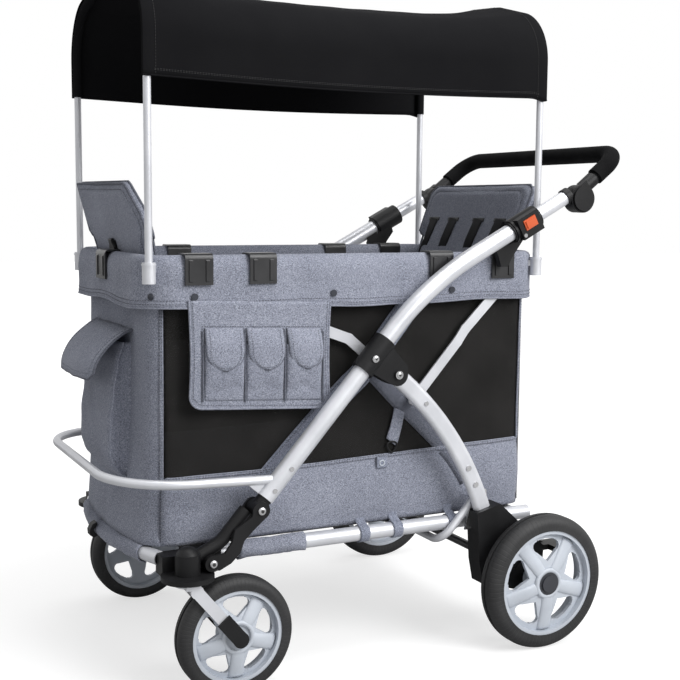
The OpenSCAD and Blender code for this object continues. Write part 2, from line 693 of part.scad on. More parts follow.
// Axle housings hang from the leg feet and reach back to the axle.
housing_half = 18;
module housing_outline() {
    polygon([[leg_foot_x - 26, leg_foot_z + 14], [leg_foot_x + 22, leg_foot_z + 26], [rear_axle_x + 30, rear_r + 50],
        [rear_axle_x + 27, rear_r + 4], [rear_axle_x + 14, rear_r - 24], [rear_axle_x - 20, rear_r - 26],
        [leg_foot_x - 12, rear_r - 4], [leg_foot_x - 20, rear_r + 36]]);
    translate([rear_axle_x, rear_r]) circle(r = 28);
}
module axle_housings() {
    color("black") bar_y(pedal_x, pedal_z, -leg_y + housing_half - 1, -pedal_y + 16, pedal_pin_r);
    color("black") both() difference() {
        plate(-leg_y - housing_half, -leg_y + housing_half) housing_outline();
        in_side_plane(leg_pivot_x, -leg_y, leg_pivot_z, -leg_start)
            bent([[0, leg_radius, -leg_turn]]) oval(leg_wide + 0.2, leg_thick + 0.2);
        bar_y(rear_axle_x, rear_r, -leg_y - 30, -leg_y + 30, axle_r + run_gap);
        plate(-leg_y - housing_half - 1, -leg_y - housing_half + 3)
            polygon([[leg_foot_x - 4, rear_r + 50], [rear_axle_x - 6, rear_r + 46], [rear_axle_x - 30, rear_r + 14],
                [leg_foot_x + 2, rear_r + 18]]);
        plate(-gusset_y0 - 0.1, -gusset_y0 + gusset_t + 0.1) gusset_outline(0.2);
        on_bow_line(80, 110, bow_r + bow_wall + 0.2);
    }
}

hub_end_y = rear_wheel_y + rear_tyre_w / 2 + 1;
module rear_axle() {
    color("black") bar_y(rear_axle_x, rear_r, -hub_end_y, hub_end_y, axle_r);
}

// A thin steel bow joins the legs below the floor.
bow_r = 7;
bow_turn = 30.2;
bow_chord = 2 * leg_radius * sin(bow_turn / 2);
bow_socket_x = leg_pivot_x + bow_chord * cos(leg_start + bow_turn / 2) + 6.9;
bow_socket_z = leg_pivot_z - bow_chord * sin(leg_start + bow_turn / 2) + 5.3;
bow_reach = 108;
bow_corner = 30;
bow_slope = 48;
bow_y = leg_y - leg_thick / 2 - bow_r - 2.7;
bow_wall = 3.5;
gusset_y0 = leg_y - leg_thick / 2 - 0.2;
gusset_t = 3;
gusset_drop = 63;
module gusset_outline(room = 0) {
    polygon([[bow_socket_x - 10 - room, bow_socket_z + 14 + room], [bow_socket_x + 14 + room, bow_socket_z + 8 + room],
        [bow_socket_x + 22 + room, bow_socket_z - gusset_drop - room],
        [bow_socket_x - 30 - room, bow_socket_z - gusset_drop + 2 - room]]);
}
module on_bow_line(back, run, r) {
    translate([bow_socket_x, -bow_y, bow_socket_z]) rotate([0, -bow_slope, 0]) translate([-back, 0, 0])
        rotate([0, 90, 0]) cylinder(h = run, r = r);
}
module cross_bar() {
    color("silver") {
        translate([bow_socket_x, -bow_y, bow_socket_z]) rotate([0, -bow_slope, 0]) rotate([0, 0, 180])
            bent([[bow_reach - bow_corner, bow_corner, -90], [2 * (bow_y - bow_corner), bow_corner, -90],
                [bow_reach - bow_corner, 0, 0]]) circle(r = bow_r);
    }
}

// Steel gusset plates and black sockets hold the bow on the legs.
module leg_plates() {
    color("darkgray") both() difference() {
        union() {
            plate(-gusset_y0, -gusset_y0 + gusset_t) gusset_outline();
            on_bow_line(14, 22, bow_r + bow_wall);
        }
        on_bow_line(40, 40, bow_r + run_gap);
        plate(-rail_y - rail_r - 0.4, -rail_y) translate([bow_socket_x - 60, bow_socket_z - 60]) square(120);
        plate(-gusset_y0 - 20, -gusset_y0) translate([bow_socket_x - 60, bow_socket_z - 90]) square(150);
    }
}

module leg_rivets() {
    color("gainsboro") both() {
        for (a = [23.5, 27])
            rivet(leg_pivot_x + 2 * leg_radius * sin(a / 2) * cos(leg_start + a / 2),
                leg_pivot_z - 2 * leg_radius * sin(a / 2) * sin(leg_start + a / 2), leg_y + leg_thick / 2);
        bar_y(strut_pin_x, strut_pin_z, -leg_y - leg_thick / 2 - 2, -strut_y + strut_t / 2 + 1, 4);
        rivet(rear_axle_x, rear_r + 38, leg_y + housing_half);
    }
}

// Struts: flat bars from the hinge up behind the rim band

rear_strut_end_x = 218;
rear_strut_end_z = 624;
rear_bend = [[143, 544], [158, 565]];
stud_r = 6;
stud_tip_y = band_out_y - band_t - sew_gap;
module link(x0, z0, x1, z1) {
    run = sqrt(pow(x1 - x0, 2) + pow(z1 - z0, 2));
    translate([x0, z0]) rotate(atan2(z1 - z0, x1 - x0)) translate([0, -strut_w / 2]) square([run, strut_w]);
    translate([x0, z0]) circle(r = strut_w / 2 + 0.5);
    translate([x1, z1]) circle(r = strut_w / 2 + 0.5);
}
// A stud at the top of each strut runs along the inside of the rim band.
module strut_stud(x, z) {
    bar_y(x, z, -stud_tip_y, -strut_y + strut_t / 2 - 1, stud_r);
}
module rear_struts() {
    color("silver") both() difference() {
        union() {
            plate(-strut_y - strut_t / 2, -strut_y + strut_t / 2) {
                link(strut_pin_x, strut_pin_z, rear_bend[0][0], rear_bend[0][1]);
                link(rear_bend[0][0], rear_bend[0][1], rear_bend[1][0], rear_bend[1][1]);
                link(rear_bend[1][0], rear_bend[1][1], rear_strut_end_x, rear_strut_end_z);
            }
            strut_stud(rear_strut_end_x, rear_strut_end_z);
        }
        bar_y(strut_pin_x, strut_pin_z, -strut_y - 10, -strut_y + 10, 4 + run_gap);
    }
}

front_strut_slope = 40;
front_strut_turn = 20;
front_kink_run = 50.5;
front_strut_run = 230.5;
front_kink_x = strut_bolt_x - front_kink_run * cos(front_strut_slope);
front_kink_z = strut_bolt_z + front_kink_run * sin(front_strut_slope);
front_strut_end_x = front_kink_x - front_strut_run * cos(front_strut_slope - front_strut_turn);
front_strut_end_z = front_kink_z + front_strut_run * sin(front_strut_slope - front_strut_turn);
module front_struts() {
    color("silver") both() difference() {
        union() {
            plate(-strut_y - strut_t / 2, -strut_y + strut_t / 2) {
                link(strut_bolt_x, strut_bolt_z, front_kink_x, front_kink_z);
                link(front_kink_x, front_kink_z, front_strut_end_x, front_strut_end_z);
            }
            strut_stud(front_strut_end_x, front_strut_end_z);
        }
        bar_y(strut_bolt_x, strut_bolt_z, -strut_y - 10, -strut_y + 10, bolt_r - 1 + run_gap);
    }
}

// Rim

rim_mid_x = (rim_front_x + rim_rear_x) / 2;
rim_long = rim_rear_x - rim_front_x - 2 * rim_corner;
rim_wide = 2 * (rim_y - rim_corner);
module rim_path(r) {
    translate([rim_front_x + rim_corner, -rim_y, rim_z])
        bent([[rim_long, rim_corner, 90], [rim_wide, rim_corner, 90], [rim_long, rim_corner, 90],
            [rim_wide, rim_corner, 90]]) circle(r = r);
}
module rim_frame() {
    color("silver") rim_path(rim_r);
}

// The rim band is an upturned gutter of cloth: a short outer skirt with a hem, a longer inner one.
module band_outline(out_at, in_at) {
    polygon([[out_at, band_hem_z], [out_at - band_t, band_hem_z], [out_at - band_t, rim_z + rim_r + 0.5],
        [in_at + band_t, rim_z + rim_r + 0.5], [in_at + band_t, skirt_hem_z], [in_at, skirt_hem_z],
        [in_at, band_top_z], [out_at, band_top_z]]);
}
module band_run(length) {
    rotate([90, 0, 90]) linear_extrude(height = length) children();
}
module band_side(x, length) {
    translate([x, 0, 0]) band_run(length) mirror([1, 0]) band_outline(band_out_y, band_in_y);
}
module band_corner(x, from) {
    translate([x, -rim_y + rim_corner, 0]) rotate([0, 0, from]) rotate_extrude(angle = 90, $fn = 128)
        band_outline(band_out_y - rim_y + rim_corner, band_in_y - rim_y + rim_corner);
}
module hem_loop(x, skirt_x) {
    bar_y(x, hinge_z, -loop_y - loop_half, -loop_y + loop_half, rod_r + loop_t);
    translate([min(x, skirt_x), -loop_y - loop_half, hinge_z - rod_r - loop_t + 1])
        cube([abs(skirt_x - x), 2 * loop_half, loop_t]);
}
module hem_bore(x) {
    bar_y(x, hinge_z, -loop_y - loop_half - 1, loop_y + loop_half + 1, rod_r + run_gap);
}
module rim_band() {
    color("slategray") difference() {
        union() {
            both() {
                band_side(rim_front_x + rim_corner, rim_long);
                band_corner(rim_front_x + rim_corner, 180);
                band_corner(rim_rear_x - rim_corner, 270);
            }
            translate([rim_front_x + rim_y, 0, 0]) rotate([0, 0, -90]) band_side(-rim_wide / 2, rim_wide);
            translate([rim_rear_x - rim_y, 0, 0]) rotate([0, 0, 90]) band_side(-rim_wide / 2, rim_wide);
            both() {
                hem_loop(front_hinge_x, rim_front_x + rim_y - band_in_y - band_t / 2);
                hem_loop(rear_hinge_x, rim_rear_x - rim_y + band_in_y + band_t / 2);
            }
        }
        hem_bore(front_hinge_x);
        hem_bore(rear_hinge_x);
        both() for (x = [front_post_x, rear_post_x])
            translate([x, -post_y, band_hem_z - 1]) cylinder(h = 100, r = socket_r + 2);
        for (x = [front_post_x, rear_post_x])
            both() translate([x, -post_y, rim_z - 15]) rotate([0, 0, x < 0 ? 45 : 135])
                translate([4, -8.5, 0]) cube([14, 17, 24]);
    }
}

// Corner sockets clamp the rim and hold the roof posts.
socket_r = 10.5;
socket_bottom_z = 657;
socket_top_z = 690;
post_foot_z = 660;
module socket_at(x, corner_x, toward) {
    reach = norm([x - corner_x, post_y - rim_y + rim_corner]) - rim_corner - rim_r - sew_gap;
    difference() {
        union() {
            translate([x, -post_y, socket_bottom_z]) cylinder(h = socket_top_z - socket_bottom_z, r = socket_r);
            translate([x, -post_y, socket_top_z - 5]) cylinder(h = 3, r = socket_r + 1);
            translate([x, -post_y, rim_z - 14]) rotate([0, 0, toward]) translate([7, -6, 0]) cube([reach - 7, 12, 10]);
        }
        translate([x, -post_y, post_foot_z - 0.5]) cylinder(h = 100, r = post_r + run_gap);
    }
}
module post_sockets() {
    color("lightgray") both() {
        socket_at(front_post_x, rim_front_x + rim_corner, 45);
        socket_at(rear_post_x, rim_rear_x - rim_corner, 135);
    }
}

// Black clips snap over the band; each has two ribs.
clip_w = 46;
end_clip_w = 56;
clip_round = 8;
clip_places = [-338, -230, 102, 229];
clip_t = 3;
clip_drop_z = 654;
function clip_arc(y, from) = [for (a = [from : 15 : from + 90])
    [y + clip_round * cos(a), band_top_z + 0.3 + clip_t - clip_round + clip_round * sin(a)]];
module clip_section(has_leg) {
    out_y = -band_out_y - 0.3;
    in_y = has_leg ? -band_in_y + 0.3 : -band_in_y - 8;
    top = band_top_z + 0.3;
    leg = has_leg ? [[in_y, clip_drop_z + 14], [in_y + clip_t, clip_drop_z + 14]] : [];
    inner = has_leg ? clip_arc(in_y + clip_t - clip_round, 0) : [[in_y, top + clip_t]];
    polygon(concat([[out_y - clip_t, clip_drop_z], [out_y, clip_drop_z], [out_y, top], [in_y, top]], leg, inner,
        clip_arc(out_y - clip_t + clip_round, 90)));
}
module clip(w, has_leg) {
    translate([-w / 2, 0, 0]) band_run(w) clip_section(has_leg);
    for (x = [-0.3 * w, 0.3 * w])
        translate([x - 3, 0, 0]) band_run(6) polygon([[-band_out_y - 5, clip_drop_z + 6],
            [-band_out_y - 3, clip_drop_z + 5], [-band_out_y - 3, band_top_z - 6], [-band_out_y - 5, band_top_z - 8]]);
}
module rim_clips() {
    color("black") {
        both() for (x = clip_places) translate([x, 0, 0]) clip(clip_w, true);
        translate([rim_front_x + rim_y, 0, 0]) rotate([0, 0, -90]) clip(end_clip_w, false);
        translate([rim_rear_x - rim_y, 0, 0]) rotate([0, 0, 90]) clip(end_clip_w, false);
    }
}

snap_places = [-345, -104, 125];
module rim_snaps() {
    color("gray") both() for (x = snap_places) rivet(x, band_hem_z + 18, band_out_y, 5.5, 2);
}

// The organizer hangs on the near band: a backing with three pouches under flaps.
organizer_x0 = -352;
organizer_w = 241;
organizer_z0 = 446;
organizer_h = 172;
organizer_y = band_out_y + 0.5;
pouch_t = 9.5;
module organizer() {
    color("slategray") {
        plate(-organizer_y - 2, -organizer_y) difference() {
            union() {
                translate([organizer_x0 + 18, organizer_z0]) square([organizer_w - 36, organizer_h]);
                translate([organizer_x0, organizer_z0 + 18]) square([organizer_w, organizer_h - 18]);
                translate([organizer_x0 + 18, organizer_z0 + 18]) circle(r = 18);
                translate([organizer_x0 + organizer_w - 18, organizer_z0 + 18]) circle(r = 18);
            }
        }
        for (k = [0 : 2])
            translate([organizer_x0 + 20 + 35 + k * 66, -organizer_y - 2, organizer_z0 + 46]) rotate([90, 0, 0])
                soft_pad(65, 84, pouch_t, 0.08, cols = 8, rows = 8);
        for (k = [0 : 2])
            translate([organizer_x0 + 20 + 35 + k * 66, -organizer_y - 2, organizer_z0 + 110]) rotate([90, 0, 0])
                soft_pad(64, 42, pouch_t - 1, 0.05, cols = 8, rows = 6);
    }
}

// Roof

hoop_turn = 70;
hoop_half = post_y - hoop_corner * (1 - cos(hoop_turn));
hoop_radius = hoop_half / sin(90 - hoop_turn);
hoop_rise = hoop_corner * sin(hoop_turn) + hoop_radius * (1 - cos(90 - hoop_turn));
shoulder_z = hoop_top_z - hoop_rise;
module hoop(x) {
    translate([x, -post_y, post_foot_z]) rotate([90, 0, 90]) rotate([0, 0, 90])
        bent([[shoulder_z - post_foot_z, hoop_corner, -hoop_turn], [0, hoop_radius, -2 * (90 - hoop_turn)],
            [0, hoop_corner, -hoop_turn], [shoulder_z - post_foot_z, 0, 0]]) {
            circle(r = post_r);
            circle(r = post_r + bead);
        }
}
module canopy_hoops() {
    color("silver") {
        hoop(front_post_x);
        hoop(rear_post_x);
    }
}

// The roof cloth wraps both hoops and sags a little between them.
roof_t = 3;
roof_gap = 0.8;
roof_lap = 9;
roof_cols = 14;
function corner_arc(o) = [for (a = [0 : 10 : hoop_turn])
    [-post_y + hoop_corner - (hoop_corner + o) * cos(a), shoulder_z + (hoop_corner + o) * sin(a)]];
function top_arc(o) = [for (k = [1 : 9]) let (a = (90 - hoop_turn) * (1 - k / 5))
    [-(hoop_radius + o) * sin(a), hoop_top_z - hoop_radius + (hoop_radius + o) * cos(a)]];
function other_side(list) = [for (i = [len(list) - 1 : -1 : 0]) [-list[i][0], list[i][1]]];
function roof_arch(o) = concat([[-post_y - o, roof_edge_z]], [[-post_y - o, (roof_edge_z + shoulder_z) / 2]],
    corner_arc(o), top_arc(o), other_side(corner_arc(o)), [[post_y + o, (roof_edge_z + shoulder_z) / 2]],
    [[post_y + o, roof_edge_z]]);
function roof_share(i) = (i - 1) / (roof_cols - 2);
function roof_x(i) = i == 0 ? front_post_x - roof_lap : i == roof_cols ? rear_post_x + roof_lap
    : front_post_x + roof_lap + roof_share(i) * (rear_post_x - front_post_x - 2 * roof_lap);
function sag_at(i) = i == 0 || i == roof_cols ? 0 : 1 - pow(2 * roof_share(i) - 1, 4);
function roof_rows(o) = [for (i = [0 : roof_cols])
    [for (p = roof_arch(o)) let (lift = (p[1] - roof_edge_z) / (hoop_top_z - roof_edge_z))
        [roof_x(i), p[0] * (1 - 0.03 * sag_at(i) * lift), p[1] - roof_sag * sag_at(i) * lift]]];
module canopy_cloth() {
    color("black") sheet(roof_rows(post_r + roof_gap + roof_t), roof_rows(post_r + roof_gap));
}

// Handle

slide_foot = slide_inside;
module slide_frame() {
    in_side_plane(arm_end_x, -arm_y, arm_end_z, top_slope) children();
}
knob_half = 13;
tube_shows = slide_shows - knob_r - 1;
module slide_tubes() {
    color("silver") both() slide_frame() translate([-slide_foot, 0, 0]) rotate([0, 90, 0])
        linear_extrude(height = slide_foot + tube_shows) ring(slide_r, tube_wall);
}

// Each knob is a pair of toothed discs hung below the tube: the inner one ends the slide tube, the outer one
// ends the bow.
socket_wall = 2.5;
plug_len = 20;
module handle_knobs() {
    color("black") both() slide_frame() {
        difference() {
            union() {
                translate([tube_shows - 3, 0, 0]) rotate([0, 90, 0]) cylinder(h = 11, r = slide_r + socket_wall);
                translate([slide_shows, -knob_drop, -knob_half]) cylinder(h = knob_half - 0.5, r = knob_r - 0.3);
            }
            translate([tube_shows - 40, 0, 0]) rotate([0, 90, 0]) cylinder(h = 40.3, r = slide_r + run_gap);
            translate([slide_shows, -knob_drop, -0.5]) cylinder(h = 40, r = knob_r + 0.6);
        }
        difference() {
            translate([tube_shows - plug_len, 0, 0]) rotate([0, 90, 0])
                cylinder(h = plug_len + 2, r = slide_r - tube_wall - run_gap);
            translate([slide_shows, -knob_drop, -0.5]) cylinder(h = 40, r = knob_r + 0.6);
        }
        translate([slide_shows, -knob_drop, -knob_half + 1]) cylinder(h = 2 * knob_half, r = 6);
    }
}

module bow_frame() {
    translate([knob_x, 0, knob_z]) rotate([0, -handle_slope, 0]) children();
}
bow_start = 46;
bow_lift = 10;
root_r = 13;
grip_start = 52;
module handle_bow() {
    color("black") {
        bow_frame() translate([bow_start - 14, -arm_y, bow_lift])
            bent([[handle_reach - handle_corner - bow_start + 14, handle_corner, 90],
                [2 * (arm_y - handle_corner), handle_corner, 90],
                [handle_reach - handle_corner - bow_start + 14, 0, 0]]) circle(r = handle_tube_r);
        both() bow_frame() difference() {
            union() {
                translate([0, -arm_y, 0]) rotate([90, 0, 0]) translate([0, 0, 0.5])
                    cylinder(h = knob_half - 0.5, r = knob_r);
                translate([0, -arm_y, 0]) rotate([90, 0, 0]) translate([0, 0, knob_half])
                    cylinder(h = 4, r = knob_r - 3);
                translate([-4, -arm_y - knob_half, 0]) cube([28, knob_half - 0.5, bow_lift + root_r - 0.5]);
                translate([knob_r - 12, -arm_y, bow_lift]) rotate([0, 90, 0])
                    cylinder(h = bow_start - knob_r + 12, r = root_r);
            }
            translate([0, -arm_y, 0]) rotate([90, 0, 0]) translate([0, 0, -1]) cylinder(h = 15, r = 6 + run_gap);
            translate([0, -arm_y, 0]) rotate([90, 0, 0]) translate([0, 0, -20]) cylinder(h = 20.4, r = knob_r + 0.6);
            translate([bow_start - 14, -arm_y, bow_lift]) rotate([0, 90, 0])
                cylinder(h = 60, r = handle_tube_r - 0.5);
        }
    }
}

module handle_grip() {
    color("dimgray") bow_frame() translate([grip_start, -arm_y, bow_lift])
        bent([[handle_reach - handle_corner - grip_start, handle_corner, 90],
            [2 * (arm_y - handle_corner), handle_corner, 90],
            [handle_reach - handle_corner - grip_start, 0, 0]]) ring(grip_r, grip_r - handle_tube_r - 0.3);
}

// Release buttons press straight in on the outer face of each collar.
button_floor = arm_r + 2 + button_travel + 0.3;
button_top = collar_r + 3 + 4;
module button() {
    collar_frame() {
        translate([collar_len / 2 - button_w / 2, button_up - button_h / 2, button_floor])
            cube([button_w, button_h, button_top - button_floor - 2]);
        translate([collar_len / 2 - button_w / 2 + 3, button_up - button_h / 2 + 3, button_floor])
            cube([button_w - 6, button_h - 6, button_top - button_floor]);
    }
}
module button_near() {
    color("orangered") button();
}
module button_far() {
    color("orangered") mirror([0, 1, 0]) button();
}

// Casters and wheels

wheel_x = caster_x + caster_trail;
fork_in = front_tyre_w / 2 + 3;
fork_t = 6;
crown_z = flange_z - 10;
fork_w = 19;
fork_top_x = caster_x + 6;
fork_top_z = flange_z - 14;
module fork_bar() {
    run = sqrt(pow(wheel_x - fork_top_x, 2) + pow(front_r - fork_top_z, 2));
    translate([fork_top_x, fork_top_z]) rotate(atan2(front_r - fork_top_z, wheel_x - fork_top_x))
        translate([0, -fork_w / 2]) square([run, fork_w]);
    translate([fork_top_x, fork_top_z]) circle(r = fork_w / 2 + 1);
    translate([wheel_x, front_r]) circle(r = fork_w / 2 + 1);
}
module caster_fork() {
    translate([caster_x, -caster_y, crown_z]) cylinder(h = flange_z - crown_z - 0.5, r = 20);
    translate([caster_x - 12, -caster_y - fork_in - fork_t, crown_z])
        cube([24, 2 * (fork_in + fork_t), flange_z - crown_z - 2.5]);
    translate([caster_x, -caster_y, crown_z]) cylinder(h = 46, r = 9);
    plate(-caster_y - fork_in - fork_t, -caster_y - fork_in) fork_bar();
    plate(-caster_y + fork_in, -caster_y + fork_in + fork_t) fork_bar();
    bar_y(wheel_x, front_r, -caster_y - fork_in - 0.1, -caster_y + fork_in + 0.1, stub_r);
}

// Black tips close over the lower ends of the fork bars and hide the stub axle.
tip_w = 25;
tip_run = 46;
tip_t = 4.5;
module tip_outline() {
    translate([wheel_x, front_r]) rotate(atan2(fork_top_z - front_r, fork_top_x - wheel_x))
        translate([0, -tip_w / 2]) square([tip_run, tip_w]);
    translate([wheel_x, front_r]) circle(r = tip_w / 2 + 0.5);
}
module fork_tips() {
    tip_in = fork_in + fork_t + run_gap;
    plate(-caster_y - tip_in - tip_t, -caster_y - tip_in) tip_outline();
    plate(-caster_y + tip_in, -caster_y + tip_in + tip_t) tip_outline();
}
module fork_tips_near() {
    color("black") fork_tips();
}
module fork_tips_far() {
    color("black") mirror([0, 1, 0]) fork_tips();
}
module caster_fork_near() {
    color("silver") caster_fork();
}
module caster_fork_far() {
    color("silver") mirror([0, 1, 0]) caster_fork();
}

// A tyre section with rounded shoulders and a shallow centre groove
module tyre(r, w, depth) {
    shoulder = depth * 0.62;
    rotate([90, 0, 0]) rotate_extrude($fn = 96) difference() {
        union() {
            translate([r - depth, -w / 2]) square([depth - shoulder, w]);
            translate([r - shoulder - eps, -w / 2 + shoulder]) square([shoulder + eps, w - 2 * shoulder]);
            translate([r - shoulder, w / 2 - shoulder]) circle(r = shoulder);
            translate([r - shoulder, -w / 2 + shoulder]) circle(r = shoulder);
        }
        translate([r - 2, -2.5]) square([4, 5]);
        translate([0, -w]) square([r - depth + run_gap, 2 * w]);
    }
}

// A moulded wheel: barrel, dished face with five wide petals, and a hub with a bore
petals = 5;
module window(r0, r1) {
    half = 22;
    polygon([[r0, 0], [r1 * 0.8 * cos(half), -r1 * 0.8 * sin(half)], [r1 * cos(half * 0.62), -r1 * sin(half * 0.62)],
        [r1, 0], [r1 * cos(half * 0.62), r1 * sin(half * 0.62)], [r1 * 0.8 * cos(half), r1 * 0.8 * sin(half)]]);
    translate([r1 * 0.86 * cos(half * 0.7), r1 * 0.86 * sin(half * 0.7)]) circle(r = r1 * 0.12);
    translate([r1 * 0.86 * cos(half * 0.7), -r1 * 0.86 * sin(half * 0.7)]) circle(r = r1 * 0.12);
}
module wheel_hub(r, w, bore) {
    face = w / 2 - 2;
    hub_r = 24;
    rotate([90, 0, 0]) difference() {
        rotate_extrude($fn = 96) {
            translate([r - 6, -w / 2 + 2]) square([6, w - 4]);
            polygon([[hub_r, face - 1], [r * 0.46, face - 2.5], [r * 0.66, face - 6], [r - 5, face - 12],
                [r - 5, face - 19], [r * 0.66, face - 13], [r * 0.46, face - 9], [hub_r, face - 8]]);
            translate([bore, -w / 2 + 1]) square([hub_r + 0.5 - bore, w - 3]);
        }
        for (k = [0 : petals - 1])
            rotate([0, 0, 90 + k * 360 / petals]) translate([0, 0, face - 24]) linear_extrude(height = 30)
                window(r * 0.42, r * 0.84);
    }
}
rear_depth = 26;
front_depth = 21;
module rear_wheel_place() {
    translate([rear_axle_x, -rear_wheel_y, rear_r]) children();
}
module front_wheel_place() {
    translate([wheel_x, -caster_y, front_r]) children();
}
module front_tyre_near() {
    color("black") front_wheel_place() tyre(front_r, front_tyre_w, front_depth);
}
module front_tyre_far() {
    color("black") mirror([0, 1, 0]) front_wheel_place() tyre(front_r, front_tyre_w, front_depth);
}
module front_hub_near() {
    color("lightgray") front_wheel_place() wheel_hub(front_r - front_depth, front_tyre_w, stub_r + run_gap);
}
module front_hub_far() {
    color("lightgray") mirror([0, 1, 0]) front_wheel_place()
        wheel_hub(front_r - front_depth, front_tyre_w, stub_r + run_gap);
}
module rear_tyre_near() {
    color("black") rear_wheel_place() tyre(rear_r, rear_tyre_w, rear_depth);
}
module rear_tyre_far() {
    color("black") mirror([0, 1, 0]) rear_wheel_place() tyre(rear_r, rear_tyre_w, rear_depth);
}
module rear_hub_near() {
    color("lightgray") rear_wheel_place() wheel_hub(rear_r - rear_depth, rear_tyre_w, axle_r + run_gap);
}
module rear_hub_far() {
    color("lightgray") mirror([0, 1, 0]) rear_wheel_place()
        wheel_hub(rear_r - rear_depth, rear_tyre_w, axle_r + run_gap);
}

// Domed caps cover the hubs.
module hub_cap(y0, r, bore) {
    translate([0, y0, 0]) rotate([90, 0, 0]) rotate_extrude() difference() {
        union() {
            square([r, 4]);
            square([r - 5, 7]);
        }
        translate([-1, -1]) square([1 + bore, 4]);
    }
}
module rear_caps_near() {
    color("dimgray") rear_wheel_place() hub_cap(-rear_tyre_w / 2 + 1.95, 20, axle_r + run_gap);
}
module rear_caps_far() {
    color("dimgray") mirror([0, 1, 0]) rear_wheel_place() hub_cap(-rear_tyre_w / 2 + 1.95, 20, axle_r + run_gap);
}

// Seat backs: padded flaps that swing on a hem rod inside the rim and lean out over it

neck_half = 157;
front_back_h = back_h - 8;
neck_h = 68;
module hem_rod(x) {
    bar_y(x, hinge_z, -loop_y - loop_half - 4, loop_y + loop_half + 4, rod_r);
}
module neck_cut() {
    both() translate([-2 * back_t, -back_w, -1]) cube([4 * back_t, back_w - neck_half, neck_h + 1]);
}
module hem_tab(side) {
    translate([side < 0 ? -back_t / 2 : back_t * 0.15, -hem_half, 0]) cube([back_t * 0.35, 2 * hem_half, rod_room + 6]);
}
module seat_back_front() {
    color("slategray") {
        hem_rod(front_hinge_x);
        translate([front_hinge_x, 0, hinge_z]) rotate([0, -front_lean, 0]) {
            hem_tab(-1);
            difference() {
                translate([-back_t / 2, 0, front_back_h / 2 + rod_room]) rotate([90, 0, 90])
                    soft_pad(back_w, front_back_h, back_t, 0.07, across = [-0.25]);
                neck_cut();
            }
        }
    }
}
module seat_back_rear() {
    color("slategray") {
        hem_rod(rear_hinge_x);
        translate([rear_hinge_x, 0, hinge_z]) rotate([0, rear_lean, 0]) {
            hem_tab(1);
            difference() {
                translate([back_t / 2, 0, back_h / 2 + rod_room]) rotate([90, 0, -90])
                    soft_pad(back_w, back_h, back_t, 0.07, across = [-0.25], down = [0]);
                neck_cut();
            }
        }
    }
}

// Four harness straps lie down the inner face of the rear seat back.
strap_w = 25;
strap_t = 2;
strap_places = [-118, -45, 45, 118];
function strap_sink(y) = back_t - pad_z((abs(y) - strap_w / 2) / (back_w / 2), 0, back_t, [], []);
module harness_straps() {
    color("black") translate([rear_hinge_x, 0, hinge_z]) rotate([0, rear_lean, 0])
        for (y = strap_places)
            translate([strap_sink(y) - back_t / 2 - strap_t - sew_gap, y - strap_w / 2, rod_room + 10])
                cube([strap_t, strap_w, back_h * 0.6]);
}

// A foot pedal on the near axle housing works the parking brake.
pedal_x = rear_axle_x + 22;
pedal_z = rear_r + 34;
pedal_y = leg_y - housing_half - sew_gap;
pedal_pin_r = 4;
module brake_pedal() {
    color("black") difference() {
        union() {
            bar_y(pedal_x, pedal_z, -pedal_y, -pedal_y + 14, 11);
            translate([pedal_x, -pedal_y, pedal_z - 6]) cube([66, 14, 10]);
            translate([pedal_x + 46, -pedal_y - 30, pedal_z - 6]) cube([34, 60, 10]);
        }
        bar_y(pedal_x, pedal_z, -pedal_y - 1, -pedal_y + 20, pedal_pin_r + run_gap);
    }
}

side_rails();
front_cross_tube();
caster_housings();
foot_covers();
floor_board();
tub_sides();
tub_mesh();
tub_ends();
cross_strips();
rail_sleeves();
front_pocket();
seat_cushions();
frame_bolts();
push_arms();
arm_feet();
hinge_blocks();
arm_collars();
rim_brackets();
arm_rivets();
bumper_bar();
rear_legs();
axle_housings();
rear_axle();
cross_bar();
leg_plates();
leg_rivets();
rear_struts();
front_struts();
rim_frame();
rim_band();
post_sockets();
rim_clips();
rim_snaps();
organizer();
canopy_hoops();
canopy_cloth();
slide_tubes();
handle_bow();
handle_grip();
handle_knobs();
button_near();
button_far();
caster_fork_near();
caster_fork_far();
front_tyre_near();
front_hub_near();
front_tyre_far();
front_hub_far();
rear_tyre_near();
rear_hub_near();
rear_tyre_far();
rear_hub_far();
fork_tips_near();
fork_tips_far();
rear_caps_near();
rear_caps_far();
seat_back_front();
seat_back_rear();
harness_straps();
brake_pedal();
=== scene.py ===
# Stroller wagon: the looks of each piece, in the order in which the wagon is put together.
# Metres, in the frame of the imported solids: front at minus X, push handle at plus X, near side at minus Y.
# Helpers take millimetres where they say so.
import math

import bmesh
import bpy
from mathutils import Matrix, Vector, noise
from mathutils.bvhtree import BVHTree


